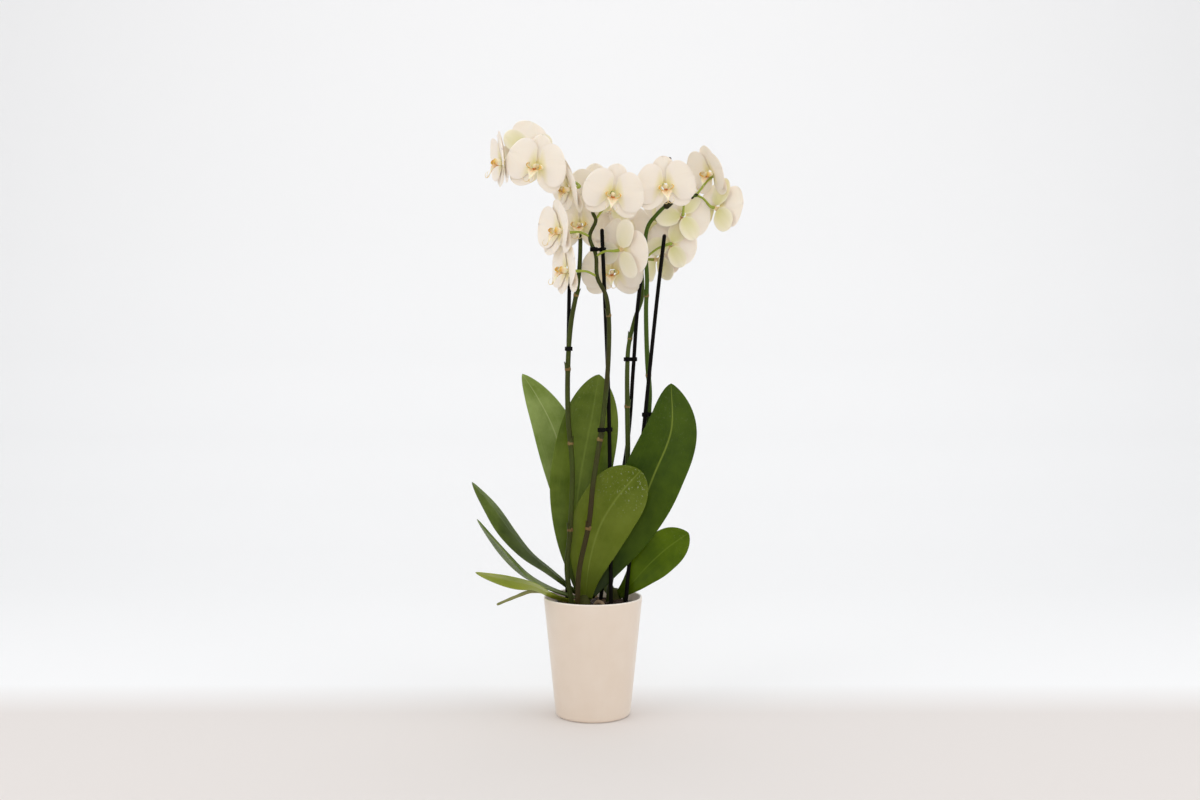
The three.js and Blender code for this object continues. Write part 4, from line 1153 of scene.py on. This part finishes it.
white_face = petal_skin("white_petal_face", "#FFF3E5", "#ECE294", 0.25, 0.8)
green_back = petal_skin("flushed_sepal_back", "#FFF5E0", "#DEDC84", 0.9, 0.7)
pale_back = petal_skin("pale_sepal_back", "#FFF5E3", "#EEE8B4", 0.8, 0.5)
golden_lip = lip_skin("golden_lip", "#F8EDCE", "#E2B04A", "#A4481E", 0.85, "Y", (0.8, 0.2))
spotted_callus = lip_skin("golden_callus", "#E0A848", "#CC7434", "#9A3C1A", 1, "Y", (1, 0.2))
cream_column = petal_skin("cream_column", "#F2E2B8", "#E4B868", 0.9, 0.7)
cream_ear = lip_skin("cream_side_lobe", "#F8EFD0", "#E8BC44", "#B8641E", 0.6, "X", (0.45, 0.9))
for count, (name, (_, _, hub, face, cup, size)) in enumerate(BLOOMS.items()):
    mesh = bmesh.new()
    flower(mesh, cup, 1.7 * count)
    yaw, pitch, roll = (math.radians(angle) for angle in face)
    stand = Matrix.Rotation(yaw, 4, "Z") @ Matrix.Rotation(math.pi / 2 - pitch, 4, "X")
    stand = Matrix.Translation(hub) @ stand @ Matrix.Rotation(-roll, 4, "Z")
    bmesh.ops.transform(mesh, matrix=stand @ Matrix.Scale(size * FITTED, 4), verts=mesh.verts)
    bmesh.ops.recalc_face_normals(mesh, faces=mesh.faces)
    back = pale_back if name in PALE_BACKED else green_back
    skins = [white_face, back, golden_lip, spotted_callus, cream_column, cream_ear]
    piece(name + "_flower", mesh, skins, "petal", name)


# ---------------------------------------------------------------- studio
# A pale table top that runs up into a white paper sweep, under wide soft lights. The sweep's wall
# is far enough back for a camera that looks from behind.
SWEEP_HALF = 6
SWEEP = [
    (-SWEEP_HALF, 0), (1.0, 0), (1.3, 0.02), (1.6, 0.11), (1.82, 0.26), (1.95, 0.48), (2.0, 0.8), (2.03, 5),
]
# Depths over which the painted shade in front of the pot fades out to white paper.
SHADE_FADES_FROM, SHADE_GONE_AT = 0.0, 0.16


# Matt paper: a faint fibre tooth, white, with painted shade that makes it warmer grey in front of the pot.
def matt_paper():
    material, tree, shader = start("pale_paper", Roughness=0.8)
    place = add(tree, "TexCoord", {}).outputs["Object"]
    depth = add(tree, "SeparateXYZ", {"Vector": place}).outputs["Y"]
    # Painted shade: the paper is a darker, warmer grey in front of the pot and white behind it.
    share = add(tree, "MapRange", {VALUE: depth, FROM: SHADE_FADES_FROM, TO: SHADE_GONE_AT})
    fibre = add(tree, "TexNoise", {"Vector": place, "Scale": 400, "Detail": 2})
    tint = add(tree, "Mix", {SHARE: share, FIRST: "#E4DEDA", SECOND: "#F8F8F8"}, data_type="RGBA")
    tooth = add(tree, "Bump", {"Height": fibre, "Strength": 0.05, "Distance": 0.0003})
    wire(tree, shader, {"Base Color": tint, "Normal": tooth})
    return material


floor_mesh = bmesh.new()
starts = [floor_mesh.verts.new((-SWEEP_HALF, y, z)) for y, z in SWEEP]
edges = [floor_mesh.edges.new(pair) for pair in zip(starts, starts[1:])]
swept = bmesh.ops.extrude_edge_only(floor_mesh, edges=edges)["geom"]
far_side = [part for part in swept if isinstance(part, bmesh.types.BMVert)]
bmesh.ops.translate(floor_mesh, vec=(2 * SWEEP_HALF, 0, 0), verts=far_side)
bmesh.ops.recalc_face_normals(floor_mesh, faces=floor_mesh.faces)
floor_data = bpy.data.meshes.new("floor")
floor_mesh.to_mesh(floor_data)
floor_mesh.free()
floor_data.shade_smooth()
floor_data.materials.append(matt_paper())
floor = bpy.data.objects.new("floor", floor_data)
bpy.context.scene.collection.objects.link(floor)

world = bpy.data.worlds.new("soft_surround")
bpy.context.scene.world = world
world.use_nodes = True
surround = {"Color": (0.97, 0.98, 1.0, 1), "Strength": 0.66}
wire(world.node_tree, world.node_tree.nodes["Background"], surround)

# Each light: its place, the point that it is aimed at, its width and its power.
LIGHTS = {
    "key": ((-2.0, -1.0, 1.3), (0, 0, 0.45), 2.0, 12),
    "fill": ((2.0, -1.0, 1.1), (0, 0, 0.45), 2.0, 12),
    "top": ((0, -0.2, 2.4), (0, 0.1, 0.3), 1.8, 6),
    "front": ((0.1, -2.5, 0.9), (0, 0, 0.4), 1.6, 8),
    "backdrop": ((0, 0.6, 3.0), (0, 2.0, 0.7), 3.4, 12),
}
for name, (place, aim, width, power) in LIGHTS.items():
    data = bpy.data.lights.new(name, "AREA")
    data.size = width
    data.energy = power
    light = bpy.data.objects.new(name, data)
    light.location = place
    light.rotation_euler = (Vector(aim) - Vector(place)).to_track_quat("-Z", "Y").to_euler()
    bpy.context.scene.collection.objects.link(light)
bpy.context.scene.view_settings.view_transform = "Standard"
